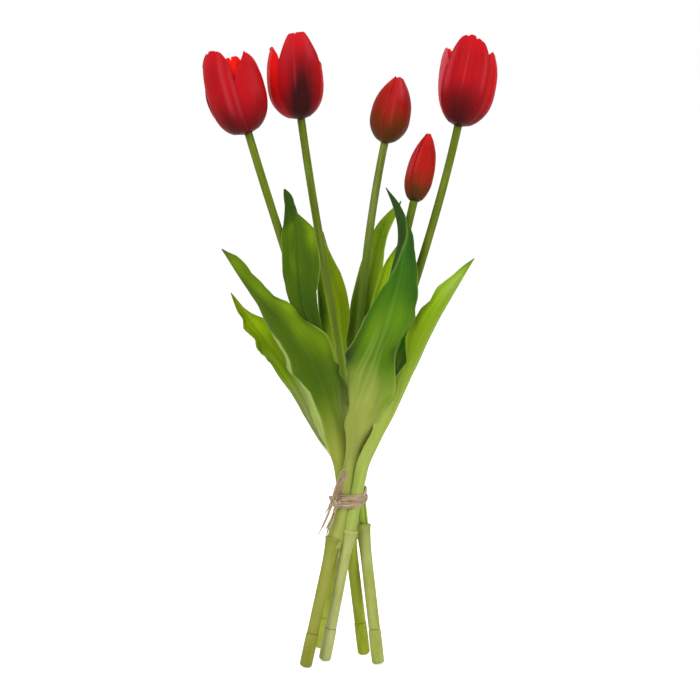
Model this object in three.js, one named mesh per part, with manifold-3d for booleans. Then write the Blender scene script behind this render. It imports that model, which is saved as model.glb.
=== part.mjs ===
// Artificial tulip bouquet: five wire-cored stems tied with raffia, three blooms and two buds.
// Millimetres, +Z up, the front is -Y. The stems stand on their end caps.
import * as THREE from 'three';
import Module from 'manifold-3d';

const wasm = await Module();
wasm.setup();

// The whole bouquet: places in the tables below are hundredths of its half width and of its stem height
const BOUQUET_HALF_WIDTH = 100;
const STEM_HEIGHT = 400;

// Fits, and the small step for the slope of a curve
const CLEARANCE = 0.3;
const CURVE_PROBE = 0.004;

// Stems: one wire-cored moulded stem with a lower length and an end cap
const WIRE_RADIUS = 1.0;
const STEM_RADIUS = 3.3;
const STEM_TOP_RADIUS = 2.8;
const PEG_RADIUS = 1.9;
const PEG_LENGTH = 9;
const TIE_HEIGHT = 126;
const BEND_EASE = 0.36;
const STEM_STEPS = 11;
const STEM_SIDES = 8;
const WIRE_SIDES = 6;

// Lower stem lengths, measured along their own axis
const CAP_LENGTH = 25;
const CAP_RADIUS = 4.6;
const CAP_WALL = 0.8;
const CAP_FLOOR = 3;
const CAP_ROUND = 1.4;
const CAP_CORNER = 0.3 * CAP_ROUND;
const SPIGOT_LENGTH = 16;
const LOWER_RADIUS = 4.3;
const FLARE_LENGTH = 24;
const FLARE_BOW = 0.35;
const COLLAR_WALL = 0.8;
const COLLAR_LIP = 2;
const SOCKET_DEPTH = 20;
const SHEATH_DEPTH = 8;
const TURN_SIDES = 10;

// Leaves
const LEAF_THICKNESS = 0.9;
const LEAF_EDGE_THICKNESS = 0.6;
const LEAF_PITCH = 12;
const LEAF_STRIP_ROLL = 0.63;
const SHEATH_WRAP = 2.3;
const CLASP_WRAP = 1.2;
const LEAF_TIP_HALF_WIDTH = 0.7;
const UNROLL_SPAN = 0.22;
const TURN_START = 0.1;
const TURN_SPAN = 0.5;
const RIPPLE_SPAN = 0.3;
const RIPPLE_SHIFT = 1.9;

// Heads
const TEPAL_THICKNESS = 0.9;
const TEPAL_EDGE_THICKNESS = 0.6;
const WHORL_GAP = 0.8;
const TEPAL_SWEEP = 0.99;
const TEPAL_LOW_STEPS = 3;
const TEPAL_HIGH_STEPS = 4;
const TEPAL_STEP_EASE = 1.4;
const TEPAL_STRIP = 7;
const TEPAL_TIP = 0.03;
const HUB_RADIUS = 4.4;
const HUB_HEIGHT = 10;
const CUP_BASE_RADIUS = 5.4;
const CUP_BASE_HEIGHT = 2;
const CUP_FULLNESS = 0.68;
const CUP_CLOSING = 1.3;
const HUB_STEP = 2;
const PISTIL_RADIUS = 2.2;
const PISTIL_WAIST = 1.8;
const PISTIL_HEIGHT = 27;
const STIGMA_RADIUS = 2.9;
const STIGMA_HEIGHT = 3;
const STIGMA_TOP = 1;
const STAMENS = 6;
const STAMEN_RADIUS = 0.7;
const STAMEN_HEIGHT = 24;
const STAMEN_RING = 3.3;
const STAMEN_SPREAD = 5.3;
const STAMEN_ROOT = 1;
const ANTHER_RADIUS = 1.3;
const ANTHER_LENGTH = 8;
const ANTHER_CONE = 1;
const HEART_ROWS = [0.12, 0.22, 0.36, 0.55, 0.75, 0.9];
const HEART_INSET = 0.7;
const HEART_TIP = 0.8;
const HEART_HEIGHT = 0.94;

// Raffia tie
const RAFFIA_HALF_WIDTH = 2.3;
const RAFFIA_TAIL_HALF_WIDTH = 1.6;
const RAFFIA_SECTION = [[-1, 0], [-0.6, 1], [0.6, 1], [1, 0], [0.6, -1], [-0.6, -1]];
const RAFFIA_SLACK = 0.9;
const RAFFIA_HALF_THICKNESS = 0.6;
const RAFFIA_TURNS = 2;
const RAFFIA_PITCH = 6;
const RAFFIA_LOW = 120;
const RAFFIA_STEPS = 24;
const RAFFIA_STEP = 2.9;
const RAFFIA_BLEND = 0.04;
const RAFFIA_APART = 5;
const KNOT_ANGLE = 235;
const BUNDLE_CENTRE = [4, -2];
// Points of the tails and the loop, counted from the ends of the wrap at the knot
const TAIL_ONE = [[-13, -5, -20], [-9, -4, -13], [-5, -2.6, -6]];
const LOOP_AND_TAIL = [
  [2, -2.5, 4], [5, -4.5, 12], [5.5, -6, 17], [3, -7, 16], [0, -7, 8], [-3, -6.5, -2], [-7, -7.5, -12],
  [-10.5, -9, -27],
];

// Each stem: foot on the ground and top under the head in hundredths, its place in the tie and the height of
// its collar in millimetres, and the slope at the top
const STEMS = [
  { foot: [15.8, 10], tie: [1, -0.3], top: [-67.9, -18, 98.25], slope: [-0.29, 0], collar: 98 },
  { foot: [26.2, -18.5], tie: [11.8, 13.2], top: [-30.6, 4, 100.88], slope: [-0.13, -0.14], collar: 101 },
  { foot: [-18.2, 28.5], tie: [-0.6, 10], top: [31, 22.8, 96.5], slope: [0.21, -0.03], collar: 96 },
  { foot: [-27.9, -25.8], tie: [-0.3, -11.3], top: [51.6, -11.8, 86.12], slope: [0.23, 0.13], collar: 96 },
  { foot: [-13.9, -7.2], tie: [9.7, -11.8], top: [83.6, -3.8, 99.5], slope: [0.22, 0.11], collar: 101 },
];

// Heads: height, widest radius and where it is, mouth radius, and the turn of the first tepal
const HEADS = [
  { kind: 'bloom', height: 62, belly: 20.8, waist: 0.42, mouth: 13, turn: 60, shoulder: 0.45, point: 0.6,
    outer: [1, 0.93, 1], inner: [0.9, 0.93, 0.92], flare: 1 },
  { kind: 'bloom', height: 64, belly: 20, waist: 0.4, mouth: 7, turn: 0, shoulder: 0.42, point: 0.55,
    outer: [1, 0.88, 0.8], inner: [0.86, 0.9, 0.74], flare: 0.5 },
  { kind: 'bud', height: 48, belly: 13.4, waist: 0.36, mouth: 2.6, turn: -25, shoulder: 0.66, point: 0.9,
    outer: [1, 0.97, 0.95], inner: [], flare: 0 },
  { kind: 'bud', height: 49, belly: 8.8, waist: 0.33, mouth: 2.2, turn: 15, shoulder: 0.66, point: 0.9,
    outer: [1, 0.96, 0.93], inner: [], flare: 0 },
  { kind: 'bloom', height: 64, belly: 20, waist: 0.4, mouth: 11.5, turn: 0, shoulder: 0.42, point: 0.6,
    outer: [1, 0.94, 0.95], inner: [0.88, 0.95, 0.92], flare: 1.5 },
];

// Leaves: stem number, where the sheath starts and opens and the blade's points in hundredths, half width,
// fold, and the facing of the inner side
const LEAVES = [
  { name: 'leaf_front_left', stem: 1, open: 39.5, half: 17, fold: 0.75,
    face: 70, peak: 0.42, taper: 1.3, wave: 1.6, waves: 3.5,
    blade: [[-7, -12.5, 45.5], [-19, -22, 55.25], [-35, -26, 62.25], [-54, -28, 67.5],
      [-71, -29, 72.38], [-87, -29, 77.5]] },
  { name: 'leaf_low_left', stem: 3, open: 34, half: 12.8, fold: 0.8,
    face: 300, peak: 0.55, taper: 1.6, wave: 1.8, waves: 3.5,
    blade: [[-18, 15, 41.5], [-32.5, 16.5, 50], [-49, 15, 57.25], [-66, 13, 63], [-83, 11, 68.75]] },
  { name: 'leaf_upper_left', stem: 1, open: 55, start: 52, half: 14.3, fold: 0.7,
    face: 90, peak: 0.55, taper: 1.6, wave: 1.2, waves: 2.5,
    blade: [[-20, -15.5, 60], [-28.5, -20, 67], [-31.5, -23, 74.5], [-33, -24.5, 81.75],
      [-42, -25, 88.25]] },
  { name: 'leaf_back_left', stem: 2, open: 40, half: 13, fold: 0.8,
    face: 270, peak: 0.5, taper: 1.6, wave: 1.0, waves: 2.5,
    blade: [[1, 32, 49.75], [-3, 36, 58.5], [-6, 36.5, 66], [-10, 35, 73.5], [-15, 31, 79.75]] },
  { name: 'leaf_back_right', stem: 3, open: 47.5, start: 45.5, half: 11.5, fold: 0.8,
    face: 270, peak: 0.55, taper: 2.2, wave: 1.0, waves: 2.5,
    blade: [[11, 12.5, 54], [14.5, 16.5, 62.5], [19, 24, 70.25], [24.5, 30, 75.75], [31.5, 32.5, 80],
      [45, 34, 84.25]] },
  { name: 'leaf_front_right', stem: 4, open: 37.5, half: 19, fold: 0.9,
    face: 90, peak: 0.42, taper: 1.3, wave: 1.8, waves: 3,
    blade: [[6, -25, 46.25], [13.5, -31.5, 51.75], [26, -35, 60.25], [35, -36, 67.5], [42, -35, 74.25],
      [45, -32, 80], [40, -29, 84.5], [31, -27, 88.5]] },
  { name: 'leaf_far_right', stem: 5, open: 36.5, half: 15, fold: 0.9,
    face: 122, peak: 0.45, taper: 1.6, wave: 1.6, waves: 3,
    blade: [[23.5, -15.5, 41.5], [36.5, -16, 47.75], [48.5, -17, 55.5], [62, -16.5, 63.25],
      [77, -14, 70], [95.5, -12, 75.5]] },
  { name: 'leaf_inner_right', stem: 4, open: 50, start: 48, half: 9, fold: 0.8,
    face: 265, peak: 0.45, taper: 1.6, wave: 0.8, waves: 2,
    blade: [[24, -2.5, 56.75], [31, -2.5, 65], [36, -3, 72], [41, -4, 77.25]] },
  { name: 'leaf_short_right', stem: 5, open: 49, start: 47, half: 9, fold: 0.8,
    face: 260, peak: 0.45, taper: 1.6, wave: 1.0, waves: 2,
    blade: [[33, -6.5, 52.25], [41.5, -3.5, 57], [48, -1.5, 61.75]] },
];

const GREEN_STEM = 0x6b7f2a;
const LIME_STEM = 0xa9b85a;
const GREEN_LEAF = 0x5e8a1c;
const RED = 0xc4161c;
const BUD_RED = 0xa82018;
const STEEL = 0x8c8c88;
const DARK_CORE = 0x3a2a16;
const RAFFIA = 0xb09068;

const RADIAN = Math.PI / 180;
const QUARTER = Math.PI / 2;
const THIRD_TURN = 120;
const UP = new THREE.Vector3(0, 0, 1);
const bouquet = new THREE.Group();
bouquet.name = 'artificial_tulip_bouquet';

function vec(x, y, z) {
  return new THREE.Vector3(x, y, z);
}

function smooth(t) {
  const c = Math.min(1, Math.max(0, t));
  return c * c * (3 - 2 * c);
}

function mix(a, b, t) {
  return a + (b - a) * t;
}

// A height and a place from hundredths of the stem height and the half width
function rise(hundredths) {
  return (STEM_HEIGHT * hundredths) / 100;
}

function placeAt([x, y, z]) {
  return vec((BOUQUET_HALF_WIDTH * x) / 100, (BOUQUET_HALF_WIDTH * y) / 100, rise(z));
}

// Horizontal direction from a compass angle in degrees, 0 along +X and 90 along +Y
function heading(degrees) {
  return vec(Math.cos(degrees * RADIAN), Math.sin(degrees * RADIAN), 0);
}

// The part of a direction that is square to another, as a unit vector
function square(direction, to) {
  return direction.clone().addScaledVector(to, -direction.dot(to)).normalize();
}

function add(name, geometry, colour, finish, parent) {
  const { roughness, metalness } = finish;
  const material = new THREE.MeshStandardMaterial({ color: colour, roughness, metalness });
  const mesh = new THREE.Mesh(geometry, material);
  mesh.name = name;
  (parent ?? bouquet).add(mesh);
}

const SOFT_PLASTIC = { roughness: 0.55, metalness: 0 };
const WIRE_METAL = { roughness: 0.4, metalness: 1 };

// Skin over a row of rings with equal counts. A loop of rings closes on itself, any other row gets end caps.
function loft(rings, looped) {
  const count = rings[0].length;
  const positions = rings.flat().flatMap((p) => [p.x, p.y, p.z]);
  const index = [];
  const last = looped ? rings.length : rings.length - 1;
  for (let i = 0; i < last; i += 1) {
    const a = i * count;
    const b = ((i + 1) % rings.length) * count;
    for (let j = 0; j < count; j += 1) {
      const k = (j + 1) % count;
      index.push(a + j, a + k, b + k, a + j, b + k, b + j);
    }
  }
  if (!looped) {
    const end = (rings.length - 1) * count;
    for (let j = 0; j < count / 2 - 1; j += 1) {
      const q = [j, j + 1, count - 2 - j, count - 1 - j];
      index.push(q[0], q[2], q[1], q[0], q[3], q[2]);
      index.push(end + q[0], end + q[1], end + q[2], end + q[0], end + q[2], end + q[3]);
    }
  }
  const geometry = new THREE.BufferGeometry();
  geometry.setAttribute('position', new THREE.Float32BufferAttribute(positions, 3));
  geometry.setIndex(index);
  geometry.computeVertexNormals();
  return geometry;
}

function circle(centre, tangent, radius, sides) {
  const a = square(vec(1, 0, 0), tangent);
  const b = tangent.clone().cross(a);
  const ring = [];
  for (let i = 0; i < sides; i += 1) {
    const angle = (2 * Math.PI * i) / sides;
    ring.push(centre.clone()
      .addScaledVector(a, radius * Math.cos(angle))
      .addScaledVector(b, radius * Math.sin(angle)));
  }
  return ring;
}

function revolve(profile) {
  const outline = profile.map(([r, z]) => new THREE.Vector2(r, z));
  return new THREE.LatheGeometry(outline, TURN_SIDES).rotateX(QUARTER);
}

// Smooth curve through points, in even steps of its chord length
class Through extends THREE.Curve {
  constructor(points) {
    super();
    this.points = points;
    this.knots = [0];
    for (let i = 1; i < points.length; i += 1) {
      this.knots.push(this.knots[i - 1] + points[i].distanceTo(points[i - 1]));
    }
    this.length = this.knots[points.length - 1];
    this.slopes = points.map((p, i) => {
      const before = Math.max(0, i - 1);
      const after = Math.min(points.length - 1, i + 1);
      return points[after].clone().sub(points[before]).divideScalar(this.knots[after] - this.knots[before]);
    });
  }
  getPoint(t) {
    const length = t * this.length;
    let i = 0;
    while (i < this.points.length - 2 && length > this.knots[i + 1]) i += 1;
    const span = this.knots[i + 1] - this.knots[i];
    const s = (length - this.knots[i]) / span;
    return this.points[i].clone().multiplyScalar((1 + 2 * s) * (1 - s) ** 2)
      .addScaledVector(this.slopes[i], span * s * (1 - s) ** 2)
      .addScaledVector(this.points[i + 1], s * s * (3 - 2 * s))
      .addScaledVector(this.slopes[i + 1], span * s * s * (s - 1));
  }
  direction(t) {
    const ahead = this.getPoint(Math.min(1, t + CURVE_PROBE));
    return ahead.sub(this.getPoint(Math.max(0, t - CURVE_PROBE))).normalize();
  }
}

// Stem axes: straight from the foot to the tie, then one easy bend to the head
const SHEATH_INNER = STEM_RADIUS + CLEARANCE;
const SHEATH_OUTER = SHEATH_INNER + LEAF_THICKNESS;
const SHEATH_MIDDLE = SHEATH_INNER + LEAF_THICKNESS / 2;
const SOLE_RADIUS = CAP_RADIUS - CAP_ROUND;

const axes = STEMS.map((stem) => {
  const tie = vec(stem.tie[0], stem.tie[1], TIE_HEIGHT);
  const foot = placeAt([...stem.foot, 0]);
  const tilt = Math.acos(tie.clone().sub(foot).normalize().z);
  foot.z = SOLE_RADIUS * Math.sin(tilt);
  const up = tie.clone().sub(foot).normalize();
  const top = placeAt(stem.top);
  const end = vec(stem.slope[0], stem.slope[1], 1).normalize();
  const reach = tie.distanceTo(top) * BEND_EASE;
  const bend = new THREE.CubicBezierCurve3(
    tie, tie.clone().addScaledVector(up, reach), top.clone().addScaledVector(end, -reach), top);
  return { foot, tie, up, top, end, bend, collar: (stem.collar - foot.z) / up.z };
});

// Point of a stem axis at a height
function axisAt(axis, height) {
  if (height <= TIE_HEIGHT) {
    return axis.foot.clone().addScaledVector(axis.up, (height - axis.foot.z) / axis.up.z);
  }
  let low = 0;
  let high = 1;
  while (high - low > 1e-6) {
    const middle = (low + high) / 2;
    if (axis.bend.getPoint(middle).z < height) low = middle;
    else high = middle;
  }
  return axis.bend.getPoint(low);
}

// Lower lengths
axes.forEach((axis, i) => {
  const number = i + 1;
  const place = new THREE.Group();
  place.position.copy(axis.foot);
  place.quaternion.setFromUnitVectors(UP, axis.up);
  bouquet.add(place);
  const capBore = CAP_RADIUS - CAP_WALL;
  const spigot = capBore - CLEARANCE;
  const seam = CAP_LENGTH + CLEARANCE;
  const wireBore = WIRE_RADIUS + CLEARANCE;
  const collarBore = SHEATH_OUTER + CLEARANCE;
  const collar = collarBore + COLLAR_WALL;
  const rim = axis.collar;
  add(`end_cap_${number}`, revolve([
    [0, 0], [SOLE_RADIUS, 0], [CAP_RADIUS - CAP_CORNER, CAP_CORNER], [CAP_RADIUS, CAP_ROUND],
    [CAP_RADIUS, CAP_LENGTH], [capBore, CAP_LENGTH], [capBore, CAP_FLOOR], [0, CAP_FLOOR],
  ]), LIME_STEM, SOFT_PLASTIC, place);
  add(`lower_stem_${number}`, revolve([
    [wireBore, seam - SPIGOT_LENGTH], [spigot, seam - SPIGOT_LENGTH], [spigot, seam], [LOWER_RADIUS, seam],
    [LOWER_RADIUS, rim - FLARE_LENGTH], [mix(LOWER_RADIUS, collar, FLARE_BOW), rim - FLARE_LENGTH / 2],
    [collar, rim - COLLAR_LIP], [collar, rim], [collarBore, rim], [collarBore, rim - SHEATH_DEPTH],
    [SHEATH_INNER, rim - SHEATH_DEPTH], [SHEATH_INNER, rim - SOCKET_DEPTH], [wireBore, rim - SOCKET_DEPTH],
    [wireBore, seam - SPIGOT_LENGTH],
  ]), LIME_STEM, SOFT_PLASTIC, place);

  // Stem from its socket to the peg under the head, and the wire from the cap to the peg
  const bottom = axis.foot.clone().addScaledVector(axis.up, rim - SOCKET_DEPTH + CLEARANCE);
  const outer = [circle(bottom, axis.up, STEM_RADIUS, STEM_SIDES)];
  const bore = [circle(bottom, axis.up, wireBore, STEM_SIDES)];
  const wireStart = axis.foot.clone().addScaledVector(axis.up, CAP_FLOOR + CLEARANCE);
  const wire = [wireStart, bottom].map((point) => circle(point, axis.up, WIRE_RADIUS, WIRE_SIDES));
  for (let step = 0; step <= STEM_STEPS; step += 1) {
    const t = step / STEM_STEPS;
    const point = axis.bend.getPoint(t);
    const tangent = axis.bend.getTangent(t);
    outer.push(circle(point, tangent, mix(STEM_RADIUS, STEM_TOP_RADIUS, smooth(t)), STEM_SIDES));
    bore.push(circle(point, tangent, wireBore, STEM_SIDES));
    wire.push(circle(point, tangent, WIRE_RADIUS, WIRE_SIDES));
  }
  const pegEnd = axis.top.clone().addScaledVector(axis.end, PEG_LENGTH);
  outer.push(circle(axis.top, axis.end, PEG_RADIUS, STEM_SIDES));
  outer.push(circle(pegEnd, axis.end, PEG_RADIUS, STEM_SIDES));
  bore.push(circle(pegEnd, axis.end, wireBore, STEM_SIDES));
  wire.push(circle(pegEnd, axis.end, WIRE_RADIUS, WIRE_SIDES));
  add(`stem_${number}`, loft([...outer, ...bore.reverse()], true), GREEN_STEM, SOFT_PLASTIC);
  add(`core_wire_${number}`, loft(wire, false), STEEL, WIRE_METAL);
});

// Leaf: a blade along its midrib, rolled into a sheath round the stem at its foot
function leafRings(leaf, axis) {
  const blade = leaf.blade.map(placeAt);
  const out = blade[0].clone().sub(axisAt(axis, blade[0].z)).setZ(0).normalize();
  const socket = axis.foot.z + (axis.collar - SHEATH_DEPTH + CLEARANCE) * axis.up.z;
  const low = leaf.start ? rise(leaf.start) : socket;
  const open = rise(leaf.open);
  const wrap = leaf.start ? CLASP_WRAP : SHEATH_WRAP;
  const parts = Math.ceil((open - low) / LEAF_PITCH);
  const sheath = [];
  for (let part = 0; part <= parts; part += 1) {
    const height = mix(low, open, part / parts);
    const along = axisAt(axis, height + LEAF_PITCH).sub(axisAt(axis, height - LEAF_PITCH)).normalize();
    sheath.push(axisAt(axis, height).addScaledVector(square(out, along), SHEATH_MIDDLE));
  }
  const curve = new Through([...sheath, ...blade]);
  curve.slopes[parts].copy(sheath[parts]).sub(sheath[parts - 1]).normalize();
  const opening = curve.knots[parts - 1] / curve.length;
  const sheathHalf = wrap * SHEATH_MIDDLE;
  const inward = out.clone().negate();
  const rings = [];
  const steps = Math.round(curve.length / LEAF_PITCH);
  const halfStrips = Math.ceil(wrap / LEAF_STRIP_ROLL);
  for (let step = 0; step <= steps; step += 1) {
    const s = step / steps;
    const t = Math.max(0, (s - opening) / (1 - opening));
    const point = curve.getPoint(s);
    const along = curve.direction(s);
    const half = t < leaf.peak
      ? mix(sheathHalf, leaf.half, smooth(t / leaf.peak))
      : mix(leaf.half, LEAF_TIP_HALF_WIDTH, ((t - leaf.peak) / (1 - leaf.peak)) ** leaf.taper);
    const roll = mix(wrap, leaf.fold, smooth(t / UNROLL_SPAN));
    const facing = inward.clone().lerp(heading(leaf.face), smooth((t - TURN_START) / TURN_SPAN));
    const inner = square(facing, along);
    const across = along.clone().cross(inner);
    const radius = half / roll;
    const ripple = leaf.wave * smooth(t / RIPPLE_SPAN) * smooth((1 - t) / RIPPLE_SPAN);
    const front = [];
    const back = [];
    for (let strip = -halfStrips; strip <= halfStrips; strip += 1) {
      const u = strip / halfStrips;
      const angle = u * roll;
      const normal = inner.clone().multiplyScalar(Math.cos(angle)).addScaledVector(across, -Math.sin(angle));
      const wave = ripple * u * u * Math.sin(2 * Math.PI * leaf.waves * t + (u > 0 ? 0 : RIPPLE_SHIFT));
      const middle = point.clone()
        .addScaledVector(across, radius * Math.sin(angle))
        .addScaledVector(inner, radius * (1 - Math.cos(angle)))
        .addScaledVector(normal, wave);
      const thick = mix(LEAF_THICKNESS, LEAF_EDGE_THICKNESS, Math.abs(u) * smooth(t / UNROLL_SPAN)) / 2;
      front.push(middle.clone().addScaledVector(normal, thick));
      back.push(middle.clone().addScaledVector(normal, -thick));
    }
    rings.push([...front, ...back.reverse()]);
  }
  return rings;
}

LEAVES.forEach((leaf) => {
  add(leaf.name, loft(leafRings(leaf, axes[leaf.stem - 1]), false), GREEN_LEAF, SOFT_PLASTIC);
});

// Cup of a head: radius and height along its wall
function cup(head, v) {
  const radius = v < head.waist
    ? mix(CUP_BASE_RADIUS, head.belly, Math.sin(QUARTER * (v / head.waist) ** CUP_FULLNESS))
    : mix(head.mouth, head.belly, Math.cos(QUARTER * ((v - head.waist) / (1 - head.waist)) ** CUP_CLOSING));
  return new THREE.Vector2(radius, CUP_BASE_HEIGHT + v * (head.height - CUP_BASE_HEIGHT));
}

// Tepal: a patch of the cup wall, inside or outside the wall line, narrowing to its tip
function tepalRings(head, turn, tall, side) {
  const rings = [];
  const offset = side * (TEPAL_THICKNESS + WHORL_GAP) / 2;
  const halfStrips = Math.ceil((head.belly * TEPAL_SWEEP) / TEPAL_STRIP);
  const rows = [];
  for (let step = 0; step < TEPAL_LOW_STEPS; step += 1) {
    rows.push(head.waist * (step / TEPAL_LOW_STEPS) ** TEPAL_STEP_EASE);
  }
  for (let step = 0; step <= TEPAL_HIGH_STEPS; step += 1) {
    rows.push(mix(tall, head.waist, (1 - step / TEPAL_HIGH_STEPS) ** TEPAL_STEP_EASE));
  }
  rows.forEach((v) => {
    const t = v / tall;
    const wall = cup(head, v);
    const slope = cup(head, v + CURVE_PROBE).sub(cup(head, Math.max(0, v - CURVE_PROBE))).normalize();
    const normal = new THREE.Vector2(slope.y, -slope.x);
    const narrow = Math.max(0, (t - head.shoulder) / (1 - head.shoulder));
    const shrink = Math.max(TEPAL_TIP, 1 - narrow ** 2) ** head.point;
    const flare = side * head.flare * t ** 3;
    const front = [];
    const back = [];
    for (let strip = -halfStrips; strip <= halfStrips; strip += 1) {
      const u = strip / halfStrips;
      const angle = turn * RADIAN + u * TEPAL_SWEEP * shrink;
      const thick = mix(TEPAL_THICKNESS, TEPAL_EDGE_THICKNESS, Math.abs(u)) / 2;
      [[front, thick], [back, -thick]].forEach(([row, shift]) => {
        const r = wall.x + normal.x * (offset + shift) + flare;
        row.push(vec(r * Math.sin(angle), -r * Math.cos(angle), wall.y + normal.y * (offset + shift)));
      });
    }
    rings.push([...front, ...back.reverse()]);
  });
  return rings;
}

// A closed body for joining, and the geometry of a joined body
function solid(geometry) {
  const mesh = new wasm.Mesh({
    numProp: 3,
    vertProperties: new Float32Array(geometry.attributes.position.array),
    triVerts: new Uint32Array(geometry.index.array),
  });
  mesh.merge();
  return new wasm.Manifold(mesh);
}

function geometryOf(body) {
  const mesh = body.getMesh();
  const geometry = new THREE.BufferGeometry();
  geometry.setAttribute('position', new THREE.Float32BufferAttribute(mesh.vertProperties, 3));
  geometry.setIndex(Array.from(mesh.triVerts));
  geometry.computeVertexNormals();
  return geometry;
}

// Hub with a blind socket for the peg, carrying a pistil and stamens or the closed heart of a bud
function hub(head) {
  const socket = PEG_RADIUS + CLEARANCE;
  const roof = PEG_LENGTH + CLEARANCE;
  const foot = [[0, roof], [socket, roof], [socket, CLEARANCE], [HUB_RADIUS, CLEARANCE]];
  if (head.kind === 'bud') {
    const heart = HEART_ROWS.map((v) => {
      const wall = cup(head, v);
      return [Math.max(HEART_TIP, wall.x - HEART_INSET), wall.y];
    });
    const shoulder = [HUB_RADIUS, heart[0][1] - HUB_STEP];
    return revolve([...foot, shoulder, ...heart, [0, head.height * HEART_HEIGHT]]);
  }
  let whole = solid(revolve([
    ...foot, [HUB_RADIUS, HUB_HEIGHT], [PISTIL_RADIUS, HUB_HEIGHT + HUB_STEP],
    [PISTIL_WAIST, PISTIL_HEIGHT - STIGMA_HEIGHT], [STIGMA_RADIUS, PISTIL_HEIGHT - STIGMA_TOP],
    [0, PISTIL_HEIGHT],
  ]));
  for (let i = 0; i < STAMENS; i += 1) {
    const out = heading((360 * i) / STAMENS);
    const filament = STAMEN_HEIGHT - ANTHER_LENGTH;
    const rings = [
      [STAMEN_RING, HUB_HEIGHT - STAMEN_ROOT, STAMEN_RADIUS], [STAMEN_SPREAD, filament, STAMEN_RADIUS],
      [STAMEN_SPREAD, filament + ANTHER_CONE, ANTHER_RADIUS],
      [STAMEN_SPREAD, STAMEN_HEIGHT - ANTHER_CONE, ANTHER_RADIUS],
      [STAMEN_SPREAD, STAMEN_HEIGHT, STAMEN_RADIUS],
    ].map(([reach, height, radius]) => {
      const centre = out.clone().multiplyScalar(reach).setZ(height);
      return circle(centre, UP, radius, WIRE_SIDES);
    });
    whole = whole.add(solid(loft(rings, false)));
  }
  return geometryOf(whole);
}

HEADS.forEach((head, i) => {
  const number = i + 1;
  const place = new THREE.Group();
  place.position.copy(axes[i].top);
  place.quaternion.setFromUnitVectors(UP, axes[i].end);
  bouquet.add(place);
  const red = head.kind === 'bud' ? BUD_RED : RED;
  const coreColour = head.kind === 'bud' ? BUD_RED : DARK_CORE;
  add(`${head.kind}_${number}_core`, hub(head), coreColour, SOFT_PLASTIC, place);
  head.outer.forEach((tall, k) => {
    add(`${head.kind}_${number}_outer_tepal_${k + 1}`,
      loft(tepalRings(head, head.turn + THIRD_TURN * k, tall, 1), false), red, SOFT_PLASTIC, place);
  });
  head.inner.forEach((tall, k) => {
    add(`${head.kind}_${number}_inner_tepal_${k + 1}`,
      loft(tepalRings(head, head.turn + THIRD_TURN * (k + 0.5), tall, -1), false), red, SOFT_PLASTIC, place);
  });
});

// Raffia: one flat strand from a tail, twice round the bundle, up into a loop and down into the other tail
function bundleEdge(angle, height) {
  const out = heading(angle);
  const gap = SHEATH_OUTER + RAFFIA_SLACK + RAFFIA_HALF_THICKNESS;
  const centres = axes.map((axis) => axisAt(axis, height));
  const outermost = centres.reduce((a, b) => (b.dot(out) > a.dot(out) ? b : a));
  return outermost.clone().addScaledVector(out, gap).setZ(height);
}

const wrapped = [];
for (let step = 0; step <= RAFFIA_TURNS * RAFFIA_STEPS; step += 1) {
  const turns = step / RAFFIA_STEPS;
  wrapped.push(bundleEdge(KNOT_ANGLE + 360 * turns, RAFFIA_LOW + RAFFIA_PITCH * turns));
}
const first = wrapped[0];
const final = wrapped[wrapped.length - 1];
const tailOne = TAIL_ONE.map((offset) => first.clone().add(vec(...offset)));
const loopAndTail = LOOP_AND_TAIL.map((offset) => final.clone().add(vec(...offset)));
const strand = new Through([...tailOne, ...wrapped, ...loopAndTail]);
const strandSteps = Math.round(strand.length / RAFFIA_STEP);
const tailPart = strand.knots[tailOne.length] / strand.length;
const loopPart = strand.knots[tailOne.length + wrapped.length - 1] / strand.length;
const strandRings = [];
for (let step = 0; step <= strandSteps; step += 1) {
  const t = step / strandSteps;
  const point = strand.getPoint(t);
  const along = strand.direction(t);
  const out = square(vec(point.x - BUNDLE_CENTRE[0], point.y - BUNDLE_CENTRE[1], 0), along);
  const wide = along.clone().cross(out);
  const inWrap = smooth((t - tailPart) / RAFFIA_BLEND) * smooth((loopPart - t) / RAFFIA_BLEND);
  const half = mix(RAFFIA_TAIL_HALF_WIDTH, RAFFIA_HALF_WIDTH, inWrap);
  const section = RAFFIA_SECTION.map(([across, thick]) => point.clone()
    .addScaledVector(wide, across * half)
    .addScaledVector(out, thick * RAFFIA_HALF_THICKNESS));
  strandRings.push(section);
}
add('raffia_tie', loft(strandRings, false), RAFFIA, SOFT_PLASTIC);

// Least gap of the strand to itself, between surface points that lie well apart along it
const surface = strandRings.map((ring) => ring.flatMap((p, k) => {
  const next = ring[(k + 1) % ring.length];
  return [p, p.clone().add(next).divideScalar(2)];
}));
let leastGap = Infinity;
surface.forEach((ring, i) => {
  surface.slice(i + RAFFIA_APART).forEach((other) => {
    ring.forEach((p) => other.forEach((q) => {
      leastGap = Math.min(leastGap, p.distanceTo(q));
    }));
  });
});
console.log(`raffia strand least gap to itself ${leastGap.toFixed(2)} mm`);

// The origin lies under the middle of the bouquet, on the ground
bouquet.updateMatrixWorld(true);
const bounds = new THREE.Box3().setFromObject(bouquet, true);
const shift = vec(-(bounds.min.x + bounds.max.x) / 2, -(bounds.min.y + bounds.max.y) / 2, -bounds.min.z);
bouquet.children.forEach((child) => child.position.add(shift));
console.log(`shift to the origin ${shift.toArray().map((x) => x.toFixed(3)).join(' ')}`);

export default bouquet;
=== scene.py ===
"""Looks of an artificial tulip bouquet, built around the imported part.

Lengths are millimetres until a mesh is made.
"""
import math
from types import SimpleNamespace

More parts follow.
